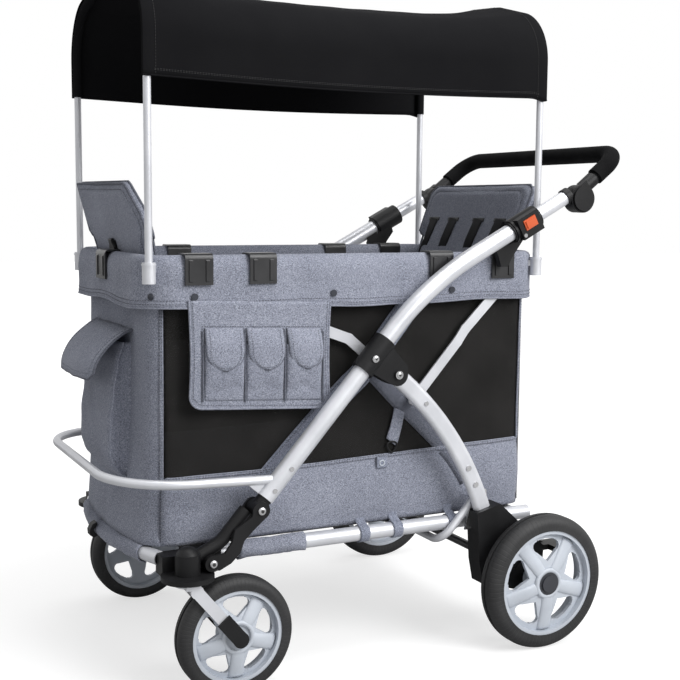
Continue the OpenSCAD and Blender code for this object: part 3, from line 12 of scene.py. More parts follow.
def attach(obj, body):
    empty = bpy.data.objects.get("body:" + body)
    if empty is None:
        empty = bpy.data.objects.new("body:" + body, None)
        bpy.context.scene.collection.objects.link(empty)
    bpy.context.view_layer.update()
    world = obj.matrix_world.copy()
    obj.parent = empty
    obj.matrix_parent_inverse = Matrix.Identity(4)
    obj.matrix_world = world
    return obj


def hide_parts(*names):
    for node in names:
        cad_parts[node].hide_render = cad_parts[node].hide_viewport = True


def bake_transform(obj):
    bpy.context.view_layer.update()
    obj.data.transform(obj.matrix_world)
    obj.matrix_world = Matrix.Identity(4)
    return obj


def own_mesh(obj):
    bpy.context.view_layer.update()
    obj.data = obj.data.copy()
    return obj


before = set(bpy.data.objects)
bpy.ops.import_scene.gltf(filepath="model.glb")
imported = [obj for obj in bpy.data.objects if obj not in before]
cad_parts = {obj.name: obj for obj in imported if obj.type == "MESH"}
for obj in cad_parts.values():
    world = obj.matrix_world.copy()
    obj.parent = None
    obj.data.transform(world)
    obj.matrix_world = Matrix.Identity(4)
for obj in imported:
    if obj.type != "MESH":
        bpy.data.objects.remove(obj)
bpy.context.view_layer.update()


# Frame tubes: drawn aluminium, cut, bent and powder coated in one pale satin silver.
# Rails, arms, legs, bumper, struts, forks, posts and sockets all leave the same coating line.


def feed(tree, node, sockets):
    """Sets a node's inputs; a value that is itself a socket is linked."""
    for key, value in sockets.items():
        if isinstance(value, bpy.types.NodeSocket):
            tree.links.new(value, node.inputs[key])
        else:
            node.inputs[key].default_value = value
    return node


def put(tree, kind, sockets=None, **settings):
    """Adds a node with its settings and inputs."""
    node = tree.nodes.new(kind)
    for key, value in settings.items():
        setattr(node, key, value)
    return feed(tree, node, sockets or {})


def sums(tree, kind, *values):
    """One step of arithmetic on numbers or sockets."""
    return put(tree, "ShaderNodeMath", dict(enumerate(values)), operation=kind).outputs["Value"]


def cloudy(tree, place, scale, detail):
    """Noise from nought to one, so many waves to the metre."""
    return put(tree, "ShaderNodeTexNoise", {"Vector": place, "Scale": scale, "Detail": detail}).outputs["Fac"]


def stretch(tree, value, low, high, first=0.0, last=1.0):
    """Maps the range from low to high on the range from first to last."""
    ends = {"From Min": low, "From Max": high, "To Min": first, "To Max": last}
    return put(tree, "ShaderNodeMapRange", {"Value": value, **ends}).outputs["Result"]


def shades(tree, factor, *stops):
    """A colour ramp through (place, colour) stops."""
    node = put(tree, "ShaderNodeValToRGB", {"Fac": factor})
    ramp = node.color_ramp
    while len(ramp.elements) < len(stops):
        ramp.elements.new(0.5)
    for element, (place, colour) in zip(ramp.elements, stops):
        element.position = place
        element.color = (*colour, 1.0)
    return node.outputs["Color"]


def relief(tree, height, strength, depth):
    """Shades a surface as if it had a fine relief of that depth."""
    sockets = {"Height": height, "Strength": strength, "Distance": depth}
    return put(tree, "ShaderNodeBump", sockets).outputs["Normal"]


def new_finish(name, skin):
    """A material; skin(tree, place) gives the values of its surface."""
    finish = bpy.data.materials.new(name)
    finish.use_nodes = True
    tree = finish.node_tree
    place = put(tree, "ShaderNodeTexCoord").outputs["Object"]
    feed(tree, tree.nodes["Principled BSDF"], skin(tree, place))
    return finish


def moulded(name, dark, light, rough, metal, grain_scale, grain_depth, shine=0.5):
    """A coated or moulded surface: cloudy tone, uneven gloss and a fine grain."""
    def skin(tree, place):
        cloud = cloudy(tree, place, 16.0, 4.0)
        grain = cloudy(tree, place, grain_scale, 2.0)
        return {"Base Color": shades(tree, cloud, (0.32, dark), (0.68, light)), "Metallic": metal,
            "Roughness": stretch(tree, cloud, 0.3, 0.7, *rough), "Specular IOR Level": shine,
            "Normal": relief(tree, grain, 0.35, grain_depth)}
    return new_finish(name, skin)


def dress(finish, *nodes):
    """Gives solids of the frame a finish."""
    for name in nodes:
        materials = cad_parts[name].data.materials
        materials.clear()
        materials.append(finish)


satin_silver = moulded("satin_silver", (0.60, 0.61, 0.645), (0.70, 0.71, 0.745), (0.30, 0.42), 0.35,
    1400.0, 0.00012)
dress(satin_silver, "side_rails", "front_cross_tube", "push_arms", "bumper_bar", "rear_legs", "cross_bar",
    "rear_struts", "front_struts", "slide_tubes", "caster_fork_near", "caster_fork_far", "rim_frame",
    "canopy_hoops", "post_sockets")


# Black mouldings: glass-filled nylon feet, housings, hinge blocks, collars, brackets and knobs, with a fine
# spark grain and a soft sheen from the mould, clamped on the tubes with screws. The floor board is grained
# black sheet laid on the rails, and the rear axle is blackened steel.

nylon_black = moulded("nylon_black", (0.006, 0.006, 0.0065), (0.011, 0.011, 0.012), (0.4, 0.54), 0.0,
    1900.0, 0.00025, 0.22)
dress(nylon_black, "caster_housings", "foot_covers", "arm_feet", "hinge_blocks", "arm_collars",
    "rim_brackets", "axle_housings", "handle_knobs", "handle_bow", "brake_pedal", "fork_tips_near",
    "fork_tips_far")

board_black = moulded("board_black", (0.02, 0.02, 0.022), (0.035, 0.035, 0.038), (0.6, 0.75), 0.0,
    500.0, 0.0004)
dress(board_black, "floor_board")

axle_dark = moulded("axle_dark", (0.03, 0.03, 0.033), (0.05, 0.05, 0.055), (0.32, 0.45), 0.6, 900.0, 0.0001)
dress(axle_dark, "rear_axle")


# Bolts, rivets and gussets: zinc-plated steel, screwed or clenched through the tubes.
# The screws have domed heads with a flat dark hexagon, a painted shade of the socket; the gussets are bare
# polished sheet.

plated_steel = moulded("plated_steel", (0.48, 0.48, 0.49), (0.62, 0.62, 0.63), (0.18, 0.3), 1.0,
    2500.0, 0.00006)
dress(plated_steel, "frame_bolts", "arm_rivets", "leg_plates", "leg_rivets")

# Near-black for the hexagon on each screw head: painted shade of the socket recess, which is not modelled.
socket_painted_shade = moulded("socket_painted_shade", (0.01, 0.01, 0.01), (0.03, 0.03, 0.03), (0.5, 0.6), 0.0, 2000.0, 0.0001)


def mm(x, y, z):
    return (x / 1000, y / 1000, z / 1000)


def add(name, data):
    """Puts a mesh, curve, lamp or camera in the scene."""
    piece = bpy.data.objects.new(name, data)
    bpy.context.collection.objects.link(piece)
    return piece


def add_mesh(name, verts, faces, *finish):
    mesh = bpy.data.meshes.new(name)
    mesh.from_pydata(verts, [], faces)
    for coat in finish:
        mesh.materials.append(coat)
    return add(name, mesh)


def add_shape(name, shape, finish):
    """Puts a shape built in bmesh in the scene."""
    mesh = bpy.data.meshes.new(name)
    shape.to_mesh(mesh)
    shape.free()
    mesh.materials.append(finish)
    return add(name, mesh)


def smooth(piece, rule=lambda face: True):
    """Shades the faces that keep the rule as one soft surface."""
    piece.data.polygons.foreach_set("use_smooth", [rule(face) for face in piece.data.polygons])


def quad(face):
    return len(face.vertices) == 4


def shape_now(piece):
    """The mesh that a piece's modifiers, or its bevel, make of it."""
    return bpy.data.meshes.new_from_object(piece.evaluated_get(bpy.context.evaluated_depsgraph_get()))


def keep_shape(name, maker, finish):
    """Turns what a modifier or curve makes into a plain mesh piece and drops the maker."""
    made = shape_now(maker)
    made.name = name
    if not made.materials:
        made.materials.append(finish)
    bpy.data.objects.remove(maker)
    return add(name, made)


def fix(body, slot, *pieces):
    """Fixes pieces to a body of the wagon; slot, what they are made of, is not used."""
    for piece in pieces:
        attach(piece, body)


def node_group(name, sizes, finishes):
    """A Geometry Nodes tree that turns geometry, sizes and materials into geometry, and its input sockets."""
    tree = bpy.data.node_groups.new(name, "GeometryNodeTree")
    kinds = [("Geometry", "Geometry")] + [(s, "Float") for s in sizes] + [(f, "Material") for f in finishes]
    for label, kind in kinds:
        tree.interface.new_socket(label, in_out="INPUT", socket_type="NodeSocket" + kind)
    tree.interface.new_socket("Geometry", in_out="OUTPUT", socket_type="NodeSocketGeometry")
    return tree, put(tree, "NodeGroupInput").outputs


def run_nodes(maker, tree, **values):
    """Hangs a Geometry Nodes tree on a piece with its inputs set."""
    nodes = maker.modifiers.new(tree.name, "NODES")
    nodes.node_group = tree
    for socket in tree.interface.items_tree:
        if socket.name in values:
            nodes[socket.identifier] = values[socket.name]


def ball(tree, segments, rings, radius, width, height):
    """Node: a sphere stretched to a width and a height."""
    sphere = put(tree, "GeometryNodeMeshUVSphere", {"Segments": segments, "Rings": rings, "Radius": radius})
    size = put(tree, "ShaderNodeCombineXYZ", {"X": width, "Y": width, "Z": height})
    return put(tree, "GeometryNodeTransform", {"Geometry": sphere.outputs["Mesh"],
        "Scale": size.outputs["Vector"]}).outputs["Geometry"]


def painted(tree, geometry, finish):
    node = put(tree, "GeometryNodeSetMaterial", {"Geometry": geometry, "Material": finish})
    return node.outputs["Geometry"]


def scatter(tree, points, facing, thing):
    """Node: one real copy of a thing on every point, turned to face its direction."""
    turn = put(tree, "FunctionNodeAlignRotationToVector", {"Vector": facing}, axis="Z").outputs["Rotation"]
    copies = put(tree, "GeometryNodeInstanceOnPoints",
        {"Points": points, "Instance": thing, "Rotation": turn}).outputs["Instances"]
    return put(tree, "GeometryNodeRealizeInstances", {"Geometry": copies}).outputs["Geometry"]


def head_tree():
    """A domed head with a flat dark hexagon, painted shade of a socket, on every face, along the face's
    normal.
    """
    tree, given = node_group("screw_heads", ("Radius", "Height"), ("Head", "Socket"))
    head = ball(tree, 20, 10, 1.0, given["Radius"], given["Height"])
    key = put(tree, "GeometryNodeMeshCylinder", {"Vertices": 6,
        "Radius": sums(tree, "MULTIPLY", given["Radius"], 0.48),
        "Depth": sums(tree, "MULTIPLY", given["Height"], 2.0)})
    key_up = put(tree, "GeometryNodeTransform",
        {"Geometry": key.outputs["Mesh"], "Translation": (0, 0, 0.00015)}).outputs["Geometry"]
    screw = put(tree, "GeometryNodeJoinGeometry")
    for piece, finish in ((key_up, "Socket"), (head, "Head")):
        tree.links.new(painted(tree, piece, given[finish]), screw.inputs["Geometry"])
    mark = put(tree, "GeometryNodeCaptureAttribute", {"Geometry": given["Geometry"]}, domain="FACE")
    mark.capture_items.new("VECTOR", "Facing")
    feed(tree, mark, {"Facing": put(tree, "GeometryNodeInputNormal").outputs["Normal"]})
    spots = put(tree, "GeometryNodeMeshToPoints", {"Mesh": mark.outputs["Geometry"]}, mode="FACES")
    heads = scatter(tree, spots.outputs["Points"], mark.outputs["Facing"], screw.outputs["Geometry"])
    put(tree, "NodeGroupOutput", {"Geometry": heads})
    return tree


screw_heads = head_tree()


def screws(name, body, places, radius, height):
    """Screw heads at (x, y, z) places in millimetres and at their mirror places, each facing outward."""
    corners = [(0.0004, 0.0), (-0.0002, 0.00035), (-0.0002, -0.00035)]
    verts = []
    for px, py, pz in places:
        for x, y, z in (mm(px, py, pz), mm(px, -py, pz)):
            verts += [(x + a, y, z + b) for a, b in (corners if y < 0 else corners[::-1])]
    faces = [(i, i + 1, i + 2) for i in range(0, len(verts), 3)]
    maker = add_mesh(name + "_seat", verts, faces)
    run_nodes(maker, screw_heads, Radius=radius, Height=height, Head=plated_steel, Socket=socket_painted_shade)
    piece = keep_shape(name, maker, plated_steel)
    smooth(piece, lambda face: len(face.vertices) < 5 and face.material_index == 0)
    fix(body, "steel", piece)


screws("foot_screws", "lower_frame", [(-252, -272.5, 296), (-334, -272.5, 220)], 0.0066, 0.0024)
screws("hinge_screws", "push_arms", [(-3.75, -270, 499.63), (-49.95, -272, 529.4)], 0.005, 0.0022)


# Wheels: solid rubber tyres pressed on moulded grey wheels; the rear ones carry dark snap-on caps.
# Five rounded spokes stand on each dished face round a raised hub ring; the tread has shallow cross sipes.

wheel_grey = moulded("wheel_grey", (0.47, 0.505, 0.56), (0.53, 0.565, 0.62), (0.38, 0.5), 0.0, 1500.0, 0.0002)
cap_slate = moulded("cap_slate", (0.022, 0.024, 0.03), (0.032, 0.034, 0.042), (0.4, 0.5), 0.0, 1700.0, 0.0002)


def tyre_rubber(name, centre, sipes=84.0):
    """Dusty rubber, with sipes about the wheel's own axle."""
    def skin(tree, place):
        about = put(tree, "ShaderNodeMapping", {"Vector": place, "Location": tuple(-c for c in centre)})
        part = put(tree, "ShaderNodeSeparateXYZ", {"Vector": about.outputs["Vector"]}).outputs
        angle = sums(tree, "ARCTAN2", part["Z"], part["X"])
        sipe = sums(tree, "SINE", sums(tree, "MULTIPLY", angle, sipes))
        cut = stretch(tree, sipe, 0.75, 0.95, 1.0, 0.0)
        height = sums(tree, "MULTIPLY_ADD", cloudy(tree, place, 700.0, 3.0), 0.35, cut)
        tones = (0.35, (0.010, 0.010, 0.011)), (0.75, (0.022, 0.022, 0.023))
        return {"Base Color": shades(tree, cloudy(tree, place, 22.0, 5.0), *tones),
            "Normal": relief(tree, height, 0.5, 0.0006), "Roughness": 0.62}
    return new_finish(name, skin)


def between(table, at, ease=False):
    """Reads a table of (place, value) rows, straight or eased from row to row."""
    for (low, a), (high, b) in zip(table, table[1:]):
        if at <= high:
            t = min(max((at - low) / (high - low), 0), 1)
            return a + (b - a) * (t * t * (3 - 2 * t) if ease else t)
    return table[-1][1]


def lattice(rows, cols, closed=False, turned=False, start=0):
    """The faces of a grid of points. Closed joins each row's ends, turned joins the last row to the first."""
    faces = []
    for i in range(rows if turned else rows - 1):
        here, below = start + i * cols, start + (i + 1) % rows * cols
        for j in range(cols if closed else cols - 1):
            k = (j + 1) % cols
            faces.append((here + j, here + k, below + k, below + j))
    return faces


def rounded_spokes(name, body, centre, outward, radius, width):
    """The rounded crowns of five spokes and the ring round the hub, moulded on a wheel's dished face."""
    face = width / 2 - 2
    dish = [(22.0, face - 1), (24.0, face - 1), (radius * 0.46, face - 2.5), (radius * 0.66, face - 6),
        (radius - 5, face - 12)]
    section = [(20.4, face - 3), (27.6, face - 3), (27.6, face + 1.6), (26.2, face + 3.2), (24.5, face + 3.9),
        (20.4, face + 3.9)]
    arcs, rings, around = 11, 13, 48
    root, tip, crown = 23.0, radius - 8.0, 6.0
    verts, faces = [], []

    def place(r, across, out, turn):
        x, z = r * math.cos(turn) - across * math.sin(turn), r * math.sin(turn) + across * math.cos(turn)
        verts.append(mm(centre[0] + x, centre[1] + outward * out, centre[2] + z))

    for k in range(5):
        base = len(verts)
        for i in range(rings):
            t = i / (rings - 1)
            r = root + (tip - root) * t
            for j in range(arcs):
                a = math.pi * j / (arcs - 1)
                rise = between(dish, r) - 1.5 + crown * math.sin(a) ** 0.8
                place(r, (11.5 + 2.5 * t) * math.cos(a), rise, math.radians(54 + 72 * k))
        faces += lattice(rings, arcs, closed=True, start=base)
        faces += [tuple(range(base, base + arcs)), tuple(range(len(verts) - arcs, len(verts)))]
    faces += lattice(around, len(section), closed=True, turned=True, start=len(verts))
    for i in range(around):
        for r, out in section:
            place(r, 0.0, out, 2 * math.pi * i / around)
    piece = add_mesh(name, verts, faces, wheel_grey)
    shape = bmesh.new()
    shape.from_mesh(piece.data)
    bmesh.ops.recalc_face_normals(shape, faces=shape.faces)
    shape.to_mesh(piece.data)
    shape.free()
    smooth(piece, quad)
    fix(body, "wheel_plastic", piece)


near_far = (("near", -1), ("far", 1))
for label, side in near_far:
    for end, x, y, z, radius, width in (("rear", 272.0, 303.0, 120.0, 94.0, 44.0),
            ("front", -295.0, 258.0, 97.0, 76.0, 40.0)):
        centre = (x, side * y, z)
        dress(tyre_rubber("tyre_%s_%s" % (end, label), mm(*centre)), "%s_tyre_%s" % (end, label))
        dress(wheel_grey, "%s_hub_%s" % (end, label))
        rounded_spokes("%s_spokes_%s" % (end, label), "%s_wheel_%s" % (end, label), centre, side, radius,
            width)
    dress(cap_slate, "rear_caps_" + label)


# Tub walls: grey melange cloth, sewn to one wrap round the front, one round the rear and a band along each
# side. The hem is closed round the lower rails and the bowed front tube; the top hangs inside the rim band.


def melange(name, dark, light, pale):
    """Two-tone yarns: weft flecks run level, warp flecks run upright."""
    def skin(tree, place):
        flecks = []
        for along, across in ((420.0, 1500.0), (1500.0, 420.0)):
            lie = put(tree, "ShaderNodeMapping", {"Vector": place, "Scale": (along, along, across)})
            yarn = put(tree, "ShaderNodeTexNoise", {"Vector": lie.outputs["Vector"], "Scale": 1.0,
                "Detail": 2.0, "Roughness": 0.6})
            flecks.append(yarn.outputs["Fac"])
        weave = sums(tree, "ADD", *flecks)
        cloud = cloudy(tree, place, 9.0, 3.0)
        shift = sums(tree, "MULTIPLY_ADD", cloud, 0.3, stretch(tree, weave, 0.74, 1.26))
        level = sums(tree, "SUBTRACT", shift, 0.15)
        return {"Base Color": shades(tree, level, (0.12, dark), (0.5, light), (0.9, pale)), "Roughness": 0.92,
            "Normal": relief(tree, weave, 0.4, 0.0007), "Specular IOR Level": 0.1,
            "Sheen Weight": 0.1, "Sheen Roughness": 0.5}
    return new_finish(name, skin)


grey_melange = melange("grey_melange", (0.12, 0.129, 0.163), (0.25, 0.266, 0.326), (0.43, 0.45, 0.53))
# Darker cloth: the real binding on the pocket flap and the seat-back piping, and painted shade on the strip
# behind the leg, on the organizer flap edges and on the pleat cords.
binding_and_painted_shade = melange("binding_and_painted_shade", (0.06, 0.065, 0.082), (0.12, 0.128, 0.158), (0.22, 0.23, 0.275))


def ripple(x, y, z, size, depth, seed=0.0):
    """Smooth uneven cloth: a small distance that changes over size (millimetres)."""
    return depth * noise.noise(Vector((x / size + seed, y / size - seed, z / size + 2 * seed)))


def cloth(name, grid, finish, thick, loop=False, side=0.0):
    """A sheet over a grid of points in millimetres, given its thickness (millimetres)."""
    rows, cols = len(grid), len(grid[0])
    piece = add_mesh(name, [mm(*p) for row in grid for p in row], lattice(rows, cols, closed=loop), finish)
    smooth(piece)
    wall = piece.modifiers.new("thickness", "SOLIDIFY")
    wall.thickness = thick / 1000
    wall.offset = side
    return piece


front_x, rear_x, half_y = -406.0, 299.0, 200.0
front_corner, rear_corner = 42.0, 30.0
corner_end = half_y - front_corner + math.pi / 2 * front_corner
side_end = corner_end + rear_x - rear_corner - front_x - front_corner
rear_end = side_end + math.pi / 2 * rear_corner
half_round = rear_end + half_y - rear_corner


def tub_plan(s):
    """Where the wall stands, s millimetres round from the middle of the front along the near side."""
    if s < half_y - front_corner:
        return front_x, -s, -1.0, 0.0
    if s < corner_end:
        a = (s - half_y + front_corner) / front_corner
        return (front_x + front_corner * (1 - math.cos(a)), -half_y + front_corner * (1 - math.sin(a)),
            -math.cos(a), -math.sin(a))
    if s < side_end:
        return front_x + front_corner + s - corner_end, -half_y, 0.0, -1.0
    if s < rear_end:
        a = (s - side_end) / rear_corner
        return (rear_x - rear_corner * (1 - math.sin(a)), -half_y + rear_corner * (1 - math.cos(a)),
            math.sin(a), -math.cos(a))
    return rear_x, -half_y + rear_corner + s - rear_end, 1.0, 0.0


belly_low, belly_tall, belly_deep, belly_least = 232, 210, 27, 3
hem_z, rim_z, fade = 230, 648, 30


def front_belly(z):
    """How far the front wall stands out at its middle: it follows the bowed tube at the bottom."""
    t = min(max((z - belly_low) / belly_tall, 0), 1)
    return belly_deep * (1 - t) ** 1.3 + belly_least


def wall_point(s, z, sign, puff):
    """A point of the wall, puffed out evenly and in a few soft folds; sign is minus one on the far side."""
    x, y, nx, ny = tub_plan(s)
    out = puff + ripple(x, y * sign, z * 0.6, 70, 2.2, 3.0) + ripple(x, y * sign, z * 0.5, 24, 0.7, 8.0)
    out *= min(1.0, (z - hem_z) / fade, (rim_z - z) / fade)
    x += out * nx
    y += out * ny
    lean = max(0.0, 1 - (x - front_x) / 70) if x > front_x else 1.0
    x -= front_belly(z) * lean * (1 - (y / half_y) ** 2 * 0.85)
    return x, y * sign, z


wall_low, wall_high, band_high = 235.0, 644.0, 344.0
window_start, window_end = 197.0, 874.0
wall_thick = 1.6


def heights(low, high, step):
    """Even steps from low to high."""
    count = max(2, round((high - low) / step))
    return [low + (high - low) * i / count for i in range(count + 1)]


def hang_wall(piece):
    """Bakes the piece's place into its mesh. The real wall is sewn to the lower frame at its hem and to the
    rim at its top; here it follows neither.
    """
    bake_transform(piece)


def round_wall(name, s_from, s_to, step=9.0):
    """A wrap of wall: minus s is the far side, past the half round is the far rear."""
    def at(s, z):
        if s < 0 or s > half_round:
            return wall_point(-s if s < 0 else 2 * half_round - s, z, -1, 1.0)
        return wall_point(s, z, 1, 1.0)
    grid = [[at(s, z) for s in heights(s_from, s_to, step)] for z in heights(wall_low, wall_high, step)]
    piece = cloth(name, grid, grey_melange, wall_thick)
    hang_wall(piece)
    return piece


front_wall = round_wall("tub_front_wall", -window_start, window_start)
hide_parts("tub_ends")
round_wall("tub_rear_wall", window_end, 2 * half_round - window_end)


def low_puff(z):
    """How far the band below the window is puffed out at a level."""
    share = min(max((z - wall_low) / (band_high - wall_low), 0), 1)
    return 1.0 + 4.5 * math.sin(math.pi * share)


def window_edge(s):
    """The level of the window's lower edge: it climbs a little towards the rear."""
    return band_high + 0.03 * max(0.0, s - 400)


for label, side in near_far:
    grid = []
    for z in heights(wall_low, band_high, 7):
        share = (z - wall_low) / (band_high - wall_low)
        grid.append([wall_point(s, wall_low + share * (window_edge(s) - wall_low), -side, low_puff(z))
            for s in heights(window_start, window_end, 9)])
    band = cloth("tub_side_band_" + label, grid, grey_melange, wall_thick)
    hang_wall(band)
    if label == "near":
        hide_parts("tub_sides")


# Mesh windows: black knitted mesh, sewn into the side walls between the front and rear wraps.
# The knit is open enough for light to pass, with a binding tape of the wall's cloth over its raw edges.

knit_pitch = 0.00125


def knit(tree, place):
    """Two slanting waves cross to a net of yarn round open holes."""
    part = put(tree, "ShaderNodeSeparateXYZ", {"Vector": place}).outputs
    waves = []
    for kind in ("ADD", "SUBTRACT"):
        slant = sums(tree, kind, part["X"], part["Z"])
        waves.append(sums(tree, "SINE", sums(tree, "MULTIPLY", slant, math.pi / knit_pitch)))
    yarn = stretch(tree, sums(tree, "ABSOLUTE", sums(tree, "MULTIPLY", *waves)), 0.72, 0.9, 1.0, 0.0)
    tones = (0.3, (0.019, 0.0185, 0.018)), (0.7, (0.027, 0.026, 0.0255))
    return {"Base Color": shades(tree, cloudy(tree, place, 14.0, 3.0), *tones), "Alpha": yarn,
        "Normal": relief(tree, yarn, 0.6, 0.0006), "Roughness": 0.8, "Specular IOR Level": 0.06}


black_knit = new_finish("knit_mesh", knit)
for label, side in near_far:
    grid = []
    for z in heights(band_high - 4, wall_high, 9):
        share = (wall_high - z) / (wall_high - band_high)
        grid.append([wall_point(s, z + (window_edge(s) - band_high) * share, -side, 0.0)
            for s in heights(window_start + 2, window_end - 2, 9)])
    window = cloth("mesh_window_" + label, grid, black_knit, 0.5)
    hang_wall(window)
    if label == "near":
        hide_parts("tub_mesh")


def tape(name, path, width, thick, finish, lift=0.6):
    """A tape along a path of (point, normal, across) in millimetres, raised a little in the middle."""
    rows = []
    for share, rise in ((-0.5, lift), (-0.25, lift + 0.3), (0.25, lift + 0.3), (0.5, lift)):
        rows.append([[p[i] + across[i] * width * share + normal[i] * rise for i in range(3)]
            for p, normal, across in path])
    return cloth(name, rows, finish, thick)


for label, side in near_far:
    def seam(s, z, turn):
        """A place on the binding; its width runs along the wall either way, or down where turn is nought."""
        nx, ny = tub_plan(s)[2:]
        across = (turn * ny, turn * nx * side, 0.0) if turn else (0.0, 0.0, -1.0)
        puff = 2.0 if z > band_high else low_puff(z) + 0.8
        return wall_point(s, z, -side, puff), (nx, -ny * side, 0.0), across
    path = [seam(window_start, z, 1) for z in heights(wall_high - 2, band_high, 9)]
    path += [seam(s, window_edge(s), 0) for s in heights(window_start + 9, window_end - 9, 9)]
    path += [seam(window_end, z, -1) for z in heights(window_edge(window_end), wall_high - 2, 9)]
    binding = tape("window_binding_" + label, path, 7.0, 1.0, grey_melange)
    hang_wall(binding)


# Cross strips: bound strips of the same cloth sewn slantwise over each mesh window, behind the arm and the
# leg; the strip behind the leg is in the darker cloth, a painted shade of the leg over it. They stiffen the
# window where the frame crosses it. Both edges are turned under and stitched.

strip_cloth = melange("strip_cloth", (0.105, 0.117, 0.152), (0.225, 0.245, 0.312), (0.42, 0.445, 0.535))


def smooth_path(points, step):
    """Evenly spaced points on a smooth curve through the given ones."""
    fine, last = [], len(points) - 1
    for i in range(last):
        near = [points[min(max(k, 0), last)] for k in range(i - 1, i + 3)]
        for t in [k / 12 for k in range(12)]:
            fine.append([0.5 * (2 * q + (r - p) * t + (2 * p - 5 * q + 4 * r - s) * t * t
                + (3 * q - p - 3 * r + s) * t ** 3) for p, q, r, s in zip(*near)])
    fine.append(list(points[-1]))
    marks = [0.0]
    for a, b in zip(fine, fine[1:]):
        marks.append(marks[-1] + math.dist(a, b))
    count = max(1, round(marks[-1] / step))
    out, j = [], 0
    for i in range(count + 1):
        want = marks[-1] * i / count
        while j < len(marks) - 2 and marks[j + 1] < want:
            j += 1
        t = (want - marks[j]) / max(marks[j + 1] - marks[j], 1e-9)
        out.append([p + (q - p) * t for p, q in zip(fine[j], fine[j + 1])])
    return out


def beside(line, sign, share, lift):
    """Lays an (x, z) line on the side wall, moved that far sideways and lifted off the cloth."""
    out = []
    for i, (x, z) in enumerate(line):
        a, b = line[max(i - 1, 0)], line[min(i + 1, len(line) - 1)]
        run = math.dist(a, b)
        px, pz = x - (b[1] - a[1]) / run * share, z + (b[0] - a[0]) / run * share
        puff = low_puff(pz) if pz < band_high else 0.0
        out.append(wall_point(corner_end + px - front_x - front_corner, pz, sign, puff + lift))
    return out


rising_line = smooth_path([(-228, 312), (-212, 329), (-89, 453), (-41.5, 495.5), (-22, 518.5), (36.5, 590.5),
    (62, 622)], 7)
falling_line = smooth_path([(-26, 507), (-7, 488), (39, 441), (90, 393), (143, 339), (176, 292)], 7)
# The falling strip takes the darker cloth: painted shade cast on it by the rear leg.
strips = (("rising", rising_line, 44, strip_cloth), ("falling", falling_line, 34, binding_and_painted_shade))
for label, side in near_far:
    for way, line, width, finish in strips:
        rows = [beside(line, -side, (k / 6 - 0.5) * width, 2.2 if 0 < k < 6 else 1.7) for k in range(7)]
        strip = cloth("%s_strip_%s" % (way, label), rows, finish, 1.0)
        hang_wall(strip)
        if (way, label) == ("rising", "near"):
            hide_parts("cross_strips")


# Stitching: lockstitch in thread a shade darker than the cloth, along every hem, binding and seam.
# Each stitch is a short rounded bar laid along the seam at a fixed pitch.


def stitch_tree():
    """Short bars along every curve, lying along it."""
    tree, given = node_group("stitch_run", ("Pitch", "Length", "Thread"), ("Finish",))
    points = put(tree, "GeometryNodeCurveToPoints", {"Curve": given["Geometry"], "Length": given["Pitch"]},
        mode="LENGTH").outputs
    bar = ball(tree, 6, 4, 0.5, sums(tree, "MULTIPLY", given["Thread"], 2.0), given["Length"])
    bars = scatter(tree, points["Points"], points["Tangent"], bar)
    put(tree, "NodeGroupOutput", {"Geometry": painted(tree, bars, given["Finish"])})
    return tree


stitch_run = stitch_tree()
dark_thread = moulded("dark_thread", (0.05, 0.055, 0.07), (0.09, 0.095, 0.115), (0.7, 0.8), 0.0,
    3000.0, 0.0002)


def drawn(name, paths, closed=False):
    """A bare curve through paths of points in millimetres."""
    lines = bpy.data.curves.new(name, "CURVE")
    lines.dimensions = "3D"
    for path in paths:
        line = lines.splines.new("POLY")
        line.points.add(len(path) - 1)
        line.points.foreach_set("co", [c for p in path for c in (*mm(*p), 1.0)])
        line.use_cyclic_u = closed
    return add(name + "_line", lines)


def stitches(name, paths, finish, pitch=5.0, length=3.6, thread=0.55):
    """Rows of stitches along paths; all in millimetres."""
    maker = drawn(name, paths)
    run_nodes(maker, stitch_run, Pitch=pitch / 1000, Length=length / 1000, Thread=thread / 1000,
        Finish=finish)
    return keep_shape(name, maker, finish)


for label, side in near_far:
    seams = [beside(line, -side, edge * (width / 2 - 4), 2.9) for way, line, width, finish in strips
        for edge in (-1, 1)]
    for s in (window_start + 1.5, window_start - 2.0, window_end - 1.5, window_end + 2.0):
        seams.append([wall_point(s, z, -side, 3.6) for z in heights(band_high + 6, wall_high - 30, 9)])
    for drop in (-1.8, 1.8):
        seams.append([wall_point(s, window_edge(s) + drop, -side, 3.6)
            for s in heights(window_start + 8, window_end - 8, 9)])
    seams.append([wall_point(window_start, z, -side, low_puff(z) + 1.3)
        for z in heights(wall_low + 3, band_high - 6, 8)])
    hang_wall(stitches("wall_stitches_" + label, seams, dark_thread))


# Rim band: a wide band of the same cloth folded over the rim tube, with a loose outer hem that ends in a
# double row of stitches. It is closed round the tube by clips and by press studs along the hem.

rim_front, rim_rear, rim_side, rim_bend = -412.0, 306.0, 203.0, 40.0


def rim_plan(step):
    """Points round the rim with their outward directions, and how much of a corner each one is in."""
    corners = []
    left, right, reach = rim_front + rim_bend, rim_rear - rim_bend, rim_side - rim_bend
    for cx, cy, start in ((left, -reach, 180), (right, -reach, 270), (right, reach, 0), (left, reach, 90)):
        for k in range(13):
            a = math.radians(start + 90 * k / 12)
            nx, ny = math.cos(a), math.sin(a)
            corners.append((cx + rim_bend * nx, cy + rim_bend * ny, nx, ny, math.sin(math.pi * k / 12)))
    full = []
    for here, after in zip(corners, corners[1:] + corners[:1]):
        full.append(here)
        count = int(math.dist(here[:2], after[:2]) // step)
        for t in [k / count for k in range(1, count)]:
            x, y = [a + (b - a) * t for a, b in zip(here[:2], after[:2])]
            full.append((x, y, here[2], here[3], 0.0))
    return full


